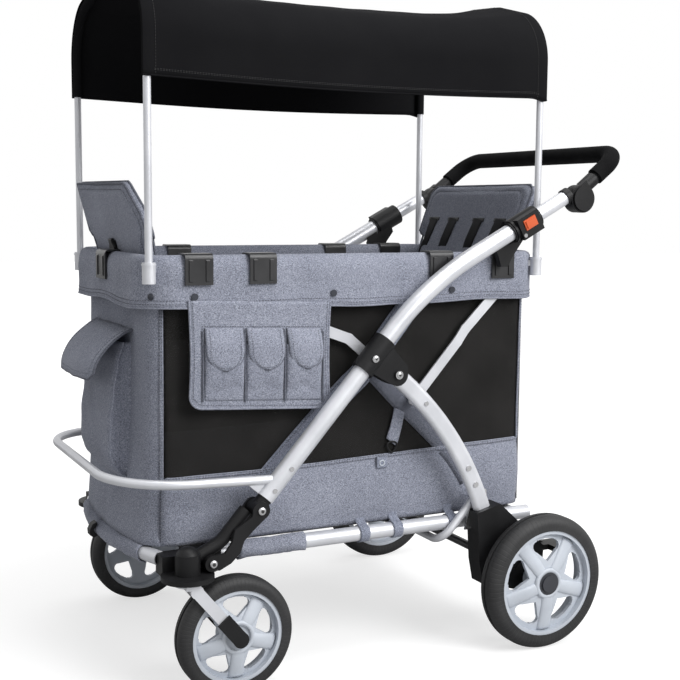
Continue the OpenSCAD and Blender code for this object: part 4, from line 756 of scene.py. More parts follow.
band_profile = smooth_path([(-12, 566), (-12.2, 600), (-12.2, 640), (-12.5, 670), (-11.5, 688), (-7, 697),
    (0, 700), (7, 698.5), (12.5, 693), (16, 684), (17.2, 670), (16.6, 656), (16.4, 646), (16.8, 634),
    (17.6, 625), (18.2, 616)], 6)
fall_top, hem_top, socket_room = 690, 650, 11.5
# The studs of the rear struts slide down behind the hem here when the wagon folds.
stud_x, stud_reach, stud_room = 260.0, 36, 18.9


def rim_point(plan, d, z):
    """A point of the band: slack ripples on the outer fall, drawn tight as it passes the corner sockets."""
    x, y, nx, ny, corner = plan
    if d > 0 and z < fall_top:
        slack = min(1.0, (fall_top - z) / 40)
        d += slack * (ripple(x, y, z * 0.8, 55, 2.2, 1.0) + ripple(x, y, z * 2.2, 21, 0.9, 5.0))
        if z < hem_top and abs(x - stud_x) < stud_reach:
            d = max(d, stud_room)
        z += min(1.0, (fall_top - z) / 70) * (ripple(x, y, 0, 120, 5.0, 2.0) + 4 * (x < rim_front + 80))
    elif d < 0:
        d += ripple(x, y, z, 60, 1.2, 4.0)
    if d > 0:
        d -= corner * max(0.0, d - socket_room)
    return x + nx * d, y + ny * d, z


def rim_line(row, out=0.0):
    """One level of the band all the way round, moved outward."""
    line = []
    for plan in rim_round:
        x, y, z = rim_point(plan, *row)
        line.append((x + out * plan[2], y + out * plan[3], z))
    return line


def rolled_edge(name, path, radius, finish, closed=False):
    """A corded edge or piping along a path in millimetres."""
    maker = drawn(name, [path], closed)
    maker.data.bevel_depth = radius / 1000
    maker.data.bevel_resolution = 2
    maker.data.use_fill_caps = True
    piece = keep_shape(name, maker, finish)
    smooth(piece, quad)
    return piece


rim_round = rim_plan(8)
rows = [rim_line(row) for row in reversed(band_profile)]
band = cloth("rim_band_cloth", rows, grey_melange, 1.8, loop=True)
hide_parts("rim_band")
hem_lines = [rim_line(band_profile[back], 1.3) for back in (-2, -3)]
hem = stitches("rim_hem_stitches", [line + line[:1] for line in hem_lines], dark_thread)
cord = rolled_edge("rim_hem_cord", rim_line(band_profile[-1]), 1.7, grey_melange, closed=True)
fix("rim", "grey_cloth", band, hem, cord)

clip_black = moulded("clip_black", (0.010, 0.010, 0.011), (0.020, 0.020, 0.022), (0.28, 0.4), 0.0,
    1900.0, 0.0002)
dress(clip_black, "rim_clips")
snap_navy = moulded("snap_navy", (0.012, 0.014, 0.022), (0.022, 0.026, 0.038), (0.3, 0.42), 0.0,
    1500.0, 0.0001)
dress(snap_navy, "rim_snaps")


def press_stud(name, plan, z):
    """A domed stud on the outer fall of the band, facing away from the rim."""
    x, y, _ = rim_point(plan, 17.5, z)
    turn = Vector((plan[2], plan[3], 0.0)).to_track_quat("Z", "Y").to_matrix().to_4x4()
    place = Matrix.Translation(mm(x + plan[2], y + plan[3], z))
    shape = bmesh.new()
    bmesh.ops.create_uvsphere(shape, u_segments=20, v_segments=10, radius=1.0,
        matrix=place @ turn @ Matrix.Diagonal((0.0055, 0.0055, 0.0022, 1.0)))
    stud = add_shape(name, shape, snap_navy)
    smooth(stud)
    fix("rim", "black_plastic", stud)


for label, side in near_far:
    corner_plan = [p for p in rim_round if p[4] > 0.95 and p[0] < 0 and p[1] * side > 0]
    press_stud("corner_stud_" + label, corner_plan[len(corner_plan) // 2], 636)


# Front pocket: a gusseted bag on the front wall. Its gussets deepen towards the bottom, the face is piped to
# them, and a stiffened flap stands out over the mouth. The bumper presses it flat when the wagon is folded.

pocket_depth = [(326, 10), (335, 25), (349, 37), (374, 43), (420, 42), (470, 36), (520, 28), (556, 18)]
pocket_half, pocket_low, pocket_high = 91.0, 326.0, 554.0
flap_half, flap_top, flap_drop, flap_reach = 106, 576, 80, 76


def pocket_row(z):
    """One level of the pocket, from the far gusset round the face to the near gusset."""
    depth = between(pocket_depth, z, ease=True)
    gusset = []
    for t in [k / 6 for k in range(6)]:
        gusset.append((front_x - front_belly(z) * 0.15 * (1 - t) - depth * t,
            pocket_half + 3 * (1 - t) - 5 * math.sin(math.pi * t), z))
    row = list(gusset)
    for u in [1 - k / 16 for k in range(33)]:
        crown = 4.0 * (1 - u * u) + ripple(u * pocket_half, 0, z, 40, 2.6, 6.0) * (1 - u ** 4)
        soft = 4.0 * max(0.0, abs(u) - 0.94) / 0.06
        droop = 3 * (1 - u * u) * (z < pocket_low + 20)
        row.append((front_x - depth - crown + soft, pocket_half * u, z - droop))
    return row + [(x, -y, z) for x, y, z in reversed(gusset)]


def flap_point(u, s):
    """A point of the flap: u across it from the far side, s down it from the wall."""
    drop = s * (1 - 0.10 * max(0.0, abs(u) - 0.86) / 0.14 * s)
    reach = flap_reach * math.sin(math.pi / 2 * drop) * (1 - 0.14 * abs(u) ** 3) + 6
    z = flap_top - flap_drop * drop ** 1.25 + ripple(u * 105, s * 90, 0, 45, 1.8, 9.0)
    return front_x - reach + ripple(u * 105, 40, s * 90, 40, 2.0, 2.0) * s, u * (flap_half - 3 * s), z


def free_edge(rows):
    """Round a sheet: down one side, along the last row and up the other side."""
    return [row[0] for row in rows] + rows[-1][1:-1] + [row[-1] for row in reversed(rows)]


rows = [pocket_row(z) for z in heights(pocket_low + 4, pocket_high, 7)]
bottom_row = [(front_x - 9 + 0.2 * (x - front_x), y * 0.97, pocket_low) for x, y, z in rows[0]]
pocket = cloth("front_pocket_bag", [bottom_row] + rows, grey_melange, 1.8)
rows = [[flap_point(1 - k / 20, s) for k in range(41)] for s in heights(0, 1, 1 / 14)]
flap = cloth("front_pocket_flap", rows, grey_melange, 3.2)
flap_edge = rolled_edge("front_flap_edge", free_edge(rows), 2.0, binding_and_painted_shade)
sides = rows[1:-1]
flap_seam = [row[2] for row in sides] + sides[-1][2:-2] + [row[-3] for row in reversed(sides)]
flap_thread = stitches("front_flap_stitches", [[(x - 1.2, y, z + 1.6) for x, y, z in flap_seam]], dark_thread)
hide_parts("front_pocket")
pocket_pieces = [pocket, flap, flap_edge, flap_thread]
for label, side in near_far:
    piping = [(front_x - between(pocket_depth, z, ease=True) + 2.2, side * (pocket_half + 0.6), z)
        for z in heights(pocket_low + 8, pocket_high, 8)]
    pocket_pieces.append(rolled_edge("front_pocket_piping_" + label, piping, 1.6, grey_melange))
for piece in pocket_pieces:
    fix("lower_frame", "grey_cloth", piece)
    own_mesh(piece)


# Side organizer: a panel of the same cloth hung from the rim on the near side, with three pleated pouches.
# Each pouch has a rounded flap whose bound edge, in the darker cloth, is painted shade under the flap; dark
# cords down the pleats are painted shade of the pleat folds. The panel is bound and its lower corners are
# rounded.

panel_left, panel_right, panel_low, panel_high, panel_y = -355.0, -111.0, 446.0, 622.0, -223.6
panel_wide, panel_tall, panel_round = panel_right - panel_left, panel_high - panel_low, 20


def panel_point(x, z, lift=0.0):
    """The panel hangs a little uneven, higher at its front end, and its edges curl in."""
    edge = min(x - panel_left, panel_right - x)
    y = panel_y - lift + ripple(x, 0, z, 60, 1.4, 3.5) - 0.9 * min(1.0, edge / 25)
    tilt = (panel_right - x) / panel_wide * (1 - 0.4 * (z - panel_low) / panel_tall)
    return x, y, z + 14 * tilt


def panel_row(z):
    """One level of the panel, with the rounding of its lower corners and the slight waist of its sides."""
    low = max(0.0, panel_round - (z - panel_low))
    inset = panel_round - math.sqrt(max(0.0, panel_round ** 2 - low * low))
    inset += 3.0 * math.sin(math.pi * (z - panel_low) / panel_tall)
    return [panel_point(panel_left + inset + (panel_wide - 2 * inset) * k / 40, z) for k in range(41)]


levels = [panel_low + panel_round * (1 - math.cos(math.radians(k * 15))) for k in range(6)]
rows = [panel_row(z) for z in levels + heights(panel_low + panel_round, panel_high, 6)]
panel = cloth("organizer_panel", rows, grey_melange, wall_thick)
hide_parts("organizer")
bound = free_edge(rows[::-1])
fix("rim", "grey_cloth", panel, rolled_edge("organizer_binding", bound, 2.0, grey_melange))

pouch_low, pouch_high, pouch_deep = 459, 552, 8.2
crease_deep, crease_at, crease_wide = 1.6, 0.22, 0.06
lid_top, lid_low, lid_lift, lid_most = 578.0, 510.0, 8.4, 11.0
seams = []
for number, (left, right, lean) in enumerate(((-332, -263, 0.0), (-262, -194, 1.5), (-192, -126, 3.0))):
    middle, half = (left + right) / 2, (right - left) / 2
    rows = []
    for z in heights(pouch_low, pouch_high, 4.2):
        t = (z - pouch_low) / (pouch_high - pouch_low)
        swell = math.sin(math.pi * min(t * 1.25 + 0.04, 1.0) * 0.5) if t < 0.7 else 1.0
        row = []
        for u in [k / 12 - 1 for k in range(25)]:
            box = (1 - abs(u) ** 7) ** 0.5 if abs(u) < 1 else 0.0
            off = t - crease_at - 0.05 * math.sin(4 * u + number)
            crease = crease_deep * math.exp(-(off / crease_wide) ** 2)
            waves = ripple(left + 30 * u, number * 9, z, 22, 1.1, 7.0)
            depth = (pouch_deep * swell - crease + waves * swell) * box
            row.append(panel_point(middle + half * u - 2.0 * (1 - t) * u, z, max(0.4, depth)))
        rows.append(row)
    pouch = cloth("organizer_pouch_%d" % (number + 1), rows, grey_melange, 1.4)
    lid_half, lid_end = half - 2.5, lid_low + lean
    rows = []
    for s in heights(0, 1, 1 / 16):
        z = lid_top + (lid_end - lid_top) * s
        low = max(0.0, lid_half - (z - lid_end)) / lid_half
        wide = lid_half * math.sqrt(1 - low * low * 0.97)
        row = []
        for u in [k / 10 - 1 for k in range(21)]:
            crown = 3.0 * math.sin(math.pi * s * 0.62) * (1 - 0.5 * u * u)
            lift = 1.4 + lid_lift * math.sin(math.pi * min(s, 0.5)) * (1 - 0.35 * abs(u) ** 4) + crown * 0.4
            row.append(panel_point(middle + lean * 1.5 * s + wide * u, z, min(lift, lid_most)))
        rows.append(row)
    lid = cloth("organizer_flap_%d" % (number + 1), rows, grey_melange, 1.5)
    # The flap's edge cord is in the darker cloth: painted shade under the flap's edge.
    lid_edge = rolled_edge("organizer_flap_edge_%d" % (number + 1), free_edge(rows), 1.3, binding_and_painted_shade)
    sides = rows[1:-2]
    inner = [row[2] for row in sides] + rows[-2][3:-3] + [row[-3] for row in reversed(sides)]
    seams.append([(x, y - 1.1, z) for x, y, z in inner])
    fix("rim", "grey_cloth", pouch, lid, lid_edge)
pleats, pleat_low, pleat_high = (-333.5, -262.5, -193, -124.5), 458, 573
panel_middle, seam_in = (panel_left + panel_right) / 2, 5
for z in (581, 576):
    seams.append([panel_point(x, z, 1.6) for x in heights(-334, -126, 6)])
for x in pleats[1:3]:
    seams.append([panel_point(x, z, 1.4) for z in heights(456, 574, 6)])
bound_seam = []
for x, y, z in bound:
    aside = (seam_in if x < panel_middle else -seam_in) * (abs(x - panel_middle) > 60)
    bound_seam.append((x + aside, y - 1.6, z + (seam_in if z < panel_low + 24 else 0)))
seams.append(bound_seam)
# Dark cords down the pleats at the sides of the pouches: painted shade of the pleat folds, not a real cord.
for number, x in enumerate(pleats):
    path = [panel_point(x, z, 2.0) for z in heights(pleat_low, pleat_high, 6)]
    fix("rim", "grey_cloth", rolled_edge("organizer_pleat_shade_%d" % (number + 1), path, 2.0, binding_and_painted_shade))
fix("rim", "grey_cloth", stitches("organizer_stitches", seams, dark_thread, 4.2, 3.0, 0.5))


# Rail sleeves: the hem of the tub closed round the lower tubes, one short sleeve on each side rail and a long
# one round the bowed front tube. The cloth gathers in small folds at the ends.

rail_y, rail_z = 212.0, 220.0
bow_half, bow_rise = 206.0, 36.0
bow_radius = (bow_half ** 2 + bow_rise ** 2) / (2 * bow_rise)
bow_angle = 2 * math.asin(bow_half / bow_radius)


def bow_point(share):
    """A point of the bowed front tube, from minus one at the far end to one at the near end."""
    a = bow_angle / 2 * share
    return -400 - bow_radius * (math.cos(a) - math.cos(bow_angle / 2)), -bow_radius * math.sin(a), rail_z


def sleeve(name, centre_line, radius, seed):
    """A tube of cloth round a line of points, with gathered folds."""
    rows, last = [], len(centre_line) - 1
    up = Vector((0, 0, 1))
    for i, p in enumerate(centre_line):
        along = Vector(centre_line[min(i + 1, last)]) - Vector(centre_line[max(i - 1, 0)])
        out = along.normalized().cross(up).normalized()
        row = []
        for turn in [2 * math.pi * k / 28 for k in range(28)]:
            c, s = math.cos(turn), math.sin(turn)
            r = radius + abs(ripple(i * 7.0, 40 * c, 40 * s, 16, 2.2, seed))
            r += 0.7 * math.sin(3 * turn + i * 0.5) + 0.8 * (min(i, last - i) < 2)
            row.append(tuple(Vector(p) + (out * c + up * s) * r))
        rows.append(row)
    piece = cloth(name, rows, grey_melange, 1.2, loop=True, side=1.0)
    fix("lower_frame", "grey_cloth", piece)
    return piece


front_sleeve = sleeve("front_sleeve", [bow_point(-0.8 + 1.6 * i / 50) for i in range(51)], 13.6, 1.0)
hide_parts("rail_sleeves")
for label, side in near_far:
    line = [(x, side * rail_y, rail_z) for x in heights(-272, -153, 6)]
    sleeve("rail_sleeve_" + label, line, 14.4, 4.0 + side)


# Floor loops: short tapes sewn into the lower hem and closed round each rail, and a hook on the front sleeve
# that holds the folded wagon shut.

loop_half, loop_radius = 9, 14.2
for label, side in near_far:
    section = [(side * 201.6, 252.0), (side * 202.0, 240.0)]
    for turn in [math.radians(100 + 340 * k / 26) for k in range(27)]:
        r = loop_radius + 0.5 * math.sin(3 * turn)
        section.append((side * rail_y - side * r * math.cos(turn), rail_z + r * math.sin(turn)))
    for number, x in enumerate((-41, 24, 136)):
        rows = [[(px, y, z) for px in heights(x - loop_half, x + loop_half, 3)] for y, z in section]
        piece = cloth("rail_loop_%s_%d" % (label, number + 1), rows, strip_cloth, 1.1)
        fix("lower_frame", "grey_cloth", piece)


def block(name, outline, low, high, upright, round_by):
    """A black moulding: an outline drawn through along Z, or along Y if upright, and rounded at its edges."""
    shape = bmesh.new()
    bottom, top = [[shape.verts.new(mm(a, level, b) if upright else mm(a, b, level)) for a, b in outline]
        for level in (low, high)]
    shape.faces.new(bottom)
    shape.faces.new(top)
    for i in range(len(outline)):
        k = (i + 1) % len(outline)
        shape.faces.new((bottom[i], bottom[k], top[k], top[i]))
    bmesh.ops.recalc_face_normals(shape, faces=shape.faces)
    piece = add_shape(name, shape, nylon_black)
    edges = piece.modifiers.new("edges", "BEVEL")
    edges.width = round_by / 1000
    edges.segments = 2
    edges.limit_method = "ANGLE"
    return piece


hook_line = [(-13, 236), (-21, 232), (-26, 222), (-25, 213), (-18, 208), (-11, 212), (-16, 217), (-18.5, 223),
    (-12, 231)]
hook_line = [(bow_point(0)[0] + x, z) for x, z in hook_line]
fix("lower_frame", "black_plastic", block("fold_hook", hook_line, -9, 9, True, 1.0))


# Side tab: a cloth strap that hangs from the falling strip with a black ring at its end, over a press-stud
# tab sewn on the lower band. It ties the wagon shut when it is folded.

tab_x, tab_y, tab_z = 24, -203.8, 433
tab_wide, tab_drop, tab_sway, tab_bow = 20, 53, 15, 4.0
ring_x, ring_y, ring_z, ring_half, ring_tall = 19, -205.0, 364, 9, 9.5
snap_x, snap_y, snap_z, snap_radius = -1, -207.4, 338, 4.6
rows = []
for t in [i / 12 for i in range(13)]:
    bow = tab_bow * math.sin(math.pi * t)
    rows.append([(tab_x + tab_wide * k / 6 - tab_sway * t, tab_y - bow * 0.6 - 0.4 * math.cos(k - 3),
        tab_z - 10 * k / 6 - tab_drop * t - 6 * t * k / 6) for k in range(7)])
tab = cloth("tie_tab", rows, grey_melange, 1.4)
snap_tab = cloth("snap_tab", [[(x, -206.6, z) for x in heights(-11, 9, 3)] for z in heights(329, 349, 3)],
    strip_cloth, 1.2)
ring_line = [(ring_x + ring_half * math.sin(a) * (0.65 - 0.35 * math.cos(a)) * 1.5, ring_y,
    ring_z - ring_tall * math.cos(a)) for a in heights(0, 2 * math.pi, 0.25)]
stud_line = [(snap_x + snap_radius * math.cos(a), snap_y, snap_z + snap_radius * math.sin(a))
    for a in heights(0, 2 * math.pi, 0.3)]
tie_ring = rolled_edge("tie_ring", ring_line[:-1], 1.8, nylon_black, closed=True)
tie_stud = rolled_edge("tie_stud", stud_line[:-1], 1.2, wheel_grey, closed=True)
for piece in (tab, snap_tab, tie_ring, tie_stud):
    hang_wall(piece)


# Zip: a moulded zip down each rear corner of the tub, so that the mesh side opens.
# The teeth are moulded on black tape, and the tape is sewn to the rear wrap.

zip_black = moulded("zip_black", (0.008, 0.008, 0.009), (0.014, 0.014, 0.016), (0.5, 0.65), 0.0,
    1200.0, 0.0003)
zip_s = window_end + 10
for label, side in near_far:
    nx, ny = tub_plan(zip_s)[2:]
    normal, across = (nx, -ny * side, 0.0), (ny * side, -nx * side, 0.0)
    places = [wall_point(zip_s, z, -side, 1.4) for z in heights(wall_high - 2, wall_low + 6, 8)]
    piece = tape("zip_tape_" + label, [(p, normal, across) for p in places], 10.0, 0.8, zip_black, 0.5)
    hang_wall(piece)
    line = [tuple(c + n * 1.5 for c, n in zip(p, normal)) for p in places]
    hang_wall(stitches("zip_teeth_" + label, [line], zip_black, 1.9, 1.2, 1.7))


# Bench cushions: foam pads in grey cloth on the floor board, sewn across in three channels.
# They are blown up as cloth from a slim block, which gives them their crown and the drawn-in sides.


def rounded(corners, segments=7):
    """An outline with each (u, v, radius) corner rounded."""
    out = []
    for i, (u, v, r) in enumerate(corners):
        p, a, b = Vector((u, v)), Vector(corners[i - 1][:2]), Vector(corners[(i + 1) % len(corners)][:2])
        da, db = (a - p).normalized(), (b - p).normalized()
        half = da.angle(db) / 2
        back = r / math.tan(half)
        start, end = p + da * back, p + db * back
        centre = p + (da + db).normalized() * (r / math.sin(half))
        for k in range(segments + 1):
            out.append(tuple(centre + (start.lerp(end, k / segments) - centre).normalized() * r))
    return out


def blown_pad(name, corners, thick, cap, voxel, fill_steps=20):
    """A closed pad over an outline (u, v in millimetres), swollen by a cloth run but by no more than cap.
    Returns a piece still lying in the plane, its lower face at zero."""
    outline = rounded(corners)
    verts = [mm(u, v, level) for level in (0.0, thick) for u, v in outline]
    low, high = tuple(range(len(outline))), tuple(range(len(outline), len(verts)))
    maker = add_mesh(name + "_block", verts, [low[::-1], high] + lattice(2, len(outline), closed=True))
    remesh = maker.modifiers.new("voxels", "REMESH")
    remesh.mode = "VOXEL"
    remesh.voxel_size = voxel / 1000
    remesh.use_smooth_shade = True
    pad = keep_shape(name, maker, grey_melange)
    swell = pad.modifiers.new("swell", "CLOTH")
    swell.settings.use_pressure = True
    swell.settings.uniform_pressure_force = 4.0
    swell.settings.effector_weights.gravity = 0.0
    swell.settings.quality = 4
    scene = bpy.context.scene
    for step in range(fill_steps):
        scene.frame_set(step + 1)
    blown = shape_now(pad)
    pad.modifiers.clear()
    for v, w in zip(pad.data.vertices, blown.vertices):
        move = w.co - v.co
        v.co += move if move.length < cap / 1000 else move * (cap / 1000 / move.length)
    scene.frame_set(1)
    smooth(pad)
    return pad


def place_pad(pad, turn):
    """Puts a finished pad in its place: its shape is moved, so that the piece stays at the origin."""
    pad.data.transform(turn)
    finer = pad.modifiers.new("smooth", "SUBSURF")
    finer.levels = 1
    finer.render_levels = 1


bench = [(-118, -172, 16), (118, -172, 16), (118, 172, 16), (-118, 172, 16)]
channels, channel_deep, channel_wide = (-58, 58), 0.005, 7
board_top, pad_flat, pad_middle = 0.2406, 0.0004, 0.012
for label, x in (("front", -0.260), ("rear", 0.154)):
    pad = blown_pad("bench_cushion_" + label, bench, 26, 9, 6.0)
    for v in pad.data.vertices:
        v.co.z = max(v.co.z, pad_flat)
        if v.co.z > pad_middle:
            for line in channels:
                v.co.z -= channel_deep * math.exp(-((v.co.y * 1000 - line) / channel_wide) ** 2)
    place_pad(pad, Matrix.Translation((x, 0, board_top)))
    fix("lower_frame", "grey_cloth", pad)
    if label == "front":
        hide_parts("seat_cushions")


# Seat backs: a padded flap at each end that swings on a rod in its lower hem, held by loops inside the rim.
# Grey cloth over foam on a stiff board, piped round the edge, with a darker seam line inside the edge.

front_hinge, rear_hinge, hinge_z = -373.75, 260.513, 650.0
above_rod, behind_rod = 0.0085, 0.0095
seam_deep, seam_wide, back_middle = 0.0022, 3.5, 0.006


def back_frame(hinge_x, lean, side):
    """The plane of a seat back: u along Y, v up the back, thickness towards the seat."""
    up = Vector((side * math.sin(lean), 0, math.cos(lean)))
    seat = Vector((-side * math.cos(lean), 0, math.sin(lean)))
    turn = Matrix((up.cross(seat), up, seat)).transposed().to_4x4()
    turn.translation = Vector(mm(hinge_x, 0, hinge_z)) + up * above_rod - seat * behind_rod
    return turn


def seat_back(label, hinge_x, lean, side, outline, seam):
    """A seat back from its outline and the line of its seam, given as (u, v, radius) corners."""
    turn = back_frame(hinge_x, math.radians(lean), side)
    pad = blown_pad("seat_back_pad_" + label, outline, 12, 6, 5.0)
    inner = rounded(seam)
    wall = [Vector((u, v, level)) for level in (0, 0.5) for u, v in inner]
    seam_wall = BVHTree.FromPolygons(wall, lattice(2, len(inner), closed=True))
    for v in pad.data.vertices:
        gap = seam_wall.find_nearest(Vector((v.co.x * 1000, v.co.y * 1000, 0.25)))[3]
        press = seam_deep * math.exp(-(gap / seam_wide) ** 2)
        v.co.z += -press if v.co.z > back_middle else press
    place_pad(pad, turn)
    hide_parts("seat_back_" + label)
    skin = BVHTree.FromObject(pad, bpy.context.evaluated_depsgraph_get())

    def on_skin(path, level, lift):
        """Lays a closed line of the pad's plane on the cloth, from a height above or below it."""
        out = []
        for u, v in path + path[:1]:
            spot = skin.find_nearest(turn @ Vector(mm(u, v, level)))
            out.append(tuple(1000 * c for c in spot[0] + spot[1] * lift / 1000))
        return out

    middle = Vector((0, sum(v for u, v, r in outline) / len(outline)))
    outer = [tuple(middle + (Vector(p) - middle) * 1.05) for p in rounded(outline)]
    pieces = [pad]
    for face, level in (("seat", 21.0), ("outer", -9.0)):
        path = on_skin(outer, level, 0.6)[:-1]
        name = "seat_back_piping_%s_%s" % (label, face)
        pieces.append(rolled_edge(name, path, 2.2, binding_and_painted_shade, closed=True))
    seams = [on_skin(inner, 17.0, 0.4), on_skin(inner, -5.0, 0.4)]
    pieces.append(stitches("seat_back_stitches_" + label, seams, dark_thread, 4.6, 3.2, 0.5))
    fix("seat_back_" + label, "grey_cloth", *pieces)
    return pad, turn


front_back = seat_back("front", front_hinge, 15, -1,
    [(-150, 2, 10), (150, 2, 10), (154, 62, 8), (181, 74, 8), (184, 171, 12), (-122, 168, 36),
        (-172, 112, 30), (-176, 72, 8), (-154, 62, 8)],
    [(-138, 14, 8), (138, 14, 8), (144, 70, 10), (166, 84, 8), (168, 156, 10), (-114, 153, 30),
        (-156, 106, 24), (-158, 82, 8), (-142, 68, 8)])
rear_back = seat_back("rear", rear_hinge, 22, 1,
    [(-150, 2, 10), (150, 2, 10), (154, 62, 8), (180, 74, 8), (184, 182, 26), (-184, 182, 26), (-180, 74, 8),
        (-154, 62, 8)],
    [(-138, 14, 8), (138, 14, 8), (144, 70, 10), (160, 84, 8), (160, 162, 22), (-160, 162, 22), (-160, 84, 8),
        (-144, 70, 10)])


# Harness: four black webbing straps come out of slots in the rear seat back and run down its face.
# A fifth, with a buckle, closes the front seat back to its clip on the rim.


def dull(name, height, strength, depth, cloud, dark, light, rough, shine):
    """A dull surface, cloudy between two tones, with the relief that height(tree, place) makes."""
    def skin(tree, place):
        return {"Base Color": shades(tree, cloudy(tree, place, *cloud), (0.3, dark), (0.7, light)),
            "Normal": relief(tree, height(tree, place), strength, depth), "Roughness": rough,
            "Specular IOR Level": shine}
    return new_finish(name, skin)


def ribs(tree, place):
    """Fine ribs, drawn out along the strap."""
    lie = put(tree, "ShaderNodeMapping", {"Vector": place, "Scale": (1.0, 1.0, 0.6)})
    return cloudy(tree, lie.outputs["Vector"], 900.0, 2.0)


strap_black = dull("strap_black", ribs, 0.5, 0.0005, (30.0, 3.0),
    (0.006, 0.006, 0.007), (0.013, 0.013, 0.015), 0.75, 0.12)


def on_pad(pad, turn, face, lift):
    """Finds points of a pad's face: u and v in its plane, lifted off the cloth (millimetres)."""
    tree = BVHTree.FromObject(pad, bpy.context.evaluated_depsgraph_get())
    way = turn.to_3x3() @ Vector((0, 0, -face))

    def at(u, v):
        hit = tree.ray_cast(turn @ Vector(mm(u, v, 6)) - way * 0.08, way)[0]
        spot = (hit if hit else turn @ Vector(mm(u, v, 6 + face * 10))) - way * lift / 1000
        return tuple(1000 * c for c in spot)
    return at


on_rear = on_pad(*rear_back, 1, 1.3)
strap_top, strap_low = 102, 14
for number, y in enumerate((-118, -45, 45, 118)):
    rows = []
    for v in heights(strap_top, strap_low, 5):
        slant = 12 * (strap_top - v) / (strap_top - strap_low)
        rows.append([on_rear(-y + k - slant, v - 0.12 * k) for k in (-14, -9, -3, 3, 9, 14)])
    strap = cloth("harness_strap_%d" % (number + 1), rows, strap_black, 1.6)
    rows = [[on_rear(-y + k, v) for k in heights(-19, 19, 4)] for v in (97, 99, 101.5, 104)]
    slit = cloth("harness_slot_%d" % (number + 1), rows, zip_black, 1.4)
    fix("seat_back_rear", "black_cloth", strap, slit)
    if number == 0:
        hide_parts("harness_straps")

# The loops inside the rim, sewn to the band's inner fall, that each seat back's rod turns in.
rod_loop_y, rod_loop_half, rod_loop_radius = 148, 14, 5.6
for end, hinge_x, skirt_x, way in (("front", front_hinge, -399.0, -1), ("rear", rear_hinge, 293.0, 1)):
    section = [(skirt_x, hinge_z + 10), (skirt_x - way * 1.5, hinge_z), (hinge_x + way * 12, hinge_z - 5.5)]
    for turn in [math.radians(-90 - way * 24 * k) for k in range(15)]:
        x, z = rod_loop_radius * math.cos(turn), rod_loop_radius * math.sin(turn)
        section.append((hinge_x + x, hinge_z + z))
    for label, side in near_far:
        across = [side * rod_loop_y + y for y in heights(-rod_loop_half, rod_loop_half, 5)]
        rows = [[(x, y, z) for y in across] for x, z in section]
        piece = cloth("hem_loop_%s_%s" % (end, label), rows, strip_cloth, 1.0)
        fix("rim", "grey_cloth", piece)

on_front = on_pad(*front_back, -1, 1.4)
rows = [[on_front(u, v) for u in heights(-4, 24, 4)] for v in heights(20, 66, 4)]
front_strap = cloth("front_buckle_strap", rows, strap_black, 1.8)
fix("seat_back_front", "black_cloth", front_strap)
buckle_place = Matrix.Translation(mm(*on_front(10, 48))) @ front_back[1].to_3x3().to_4x4()
buckle_line = [(-15, -13), (-15, 8), (-10, 13), (-9, 22), (9, 22), (10, 13), (15, 8), (15, -13), (9, -17),
    (-9, -17)]
buckle = block("front_buckle", buckle_line, -5.5, 0.5, False, 1.4)
buckle.data.transform(buckle_place)
fix("seat_back_front", "black_plastic", buckle)


# Canopy: one sheet of black sun cloth over two hoops. Each end is a sleeve round its hoop, closed by a seam;
# between the hoops the cloth sags, and its lower edges are hemmed.

roof_black = dull("roof_cloth", lambda tree, place: cloudy(tree, place, 1100.0, 2.0), 0.3, 0.0004, (6.0, 4.0),
    (0.0085, 0.0085, 0.0095), (0.0115, 0.0115, 0.0125), 0.9, 0.02)
post_half, hoop_bend, hoop_turn, hoop_top, roof_edge = 211.0, 90.0, math.radians(70), 1147.0, 972.0
hoop_half = post_half - hoop_bend * (1 - math.cos(hoop_turn))
hoop_radius = hoop_half / math.cos(hoop_turn)
shoulder = hoop_top - hoop_bend * math.sin(hoop_turn) - hoop_radius * (1 - math.sin(hoop_turn))
front_post, rear_post = -415.0, 309.0


def roof_arch(out):
    """The arch over a hoop from the near hem to the far hem, that far outside the hoop's line."""
    near = [(-post_half - out, z) for z in heights(roof_edge, shoulder, 8)]
    bend, crown = hoop_bend + out, hoop_radius + out
    for a in heights(0, hoop_turn, math.radians(4))[1:]:
        near.append((-post_half + hoop_bend - bend * math.cos(a), shoulder + bend * math.sin(a)))
    for a in heights(math.pi / 2 - hoop_turn, 0, math.radians(1.4))[1:]:
        near.append((-crown * math.sin(a), hoop_top - hoop_radius + crown * math.cos(a)))
    return near + [(-y, z) for y, z in near[-2::-1]]


roof_sag, hem_tall, hem_sag, crown_half = 26, 70, 6.5, 90


def roof_row(x, out):
    """The roof's section at a place: it sags between the hoops, its hem dips and the cloth waves."""
    t = min(max((x - front_post - 9) / (rear_post - front_post - 18), 0), 1)
    sag = 1 - abs(2 * t - 1) ** 3.4
    row = []
    for y, z in roof_arch(out):
        lift = (z - roof_edge) / (hoop_top - roof_edge)
        hem = max(0.0, 1 - (z - roof_edge) / hem_tall)
        dip = roof_sag * sag * lift + hem_sag * math.sin(math.pi * t) * hem
        dip += 5 * hem * math.exp(-((x - rear_post) / 14) ** 2)
        wave = (ripple(x, y, z, 130, 2.2, 5.0) + ripple(x, y, z, 46, 0.8, 2.0)) * sag
        wide = y * (1 - 0.022 * sag * lift)
        if abs(y) > crown_half:
            row.append((x, wide - math.copysign(wave, y), z - dip))
        else:
            row.append((x, wide, z - dip + wave))
    return row


def sleeve_lift(x):
    """The cloth stands out over each hoop and dips at the seam beside it."""
    near = min(abs(x - front_post), abs(x - rear_post))
    return 7.7 + 0.9 * math.exp(-(near / 6) ** 2) - 0.5 * math.exp(-((near - 11) / 2.5) ** 2)


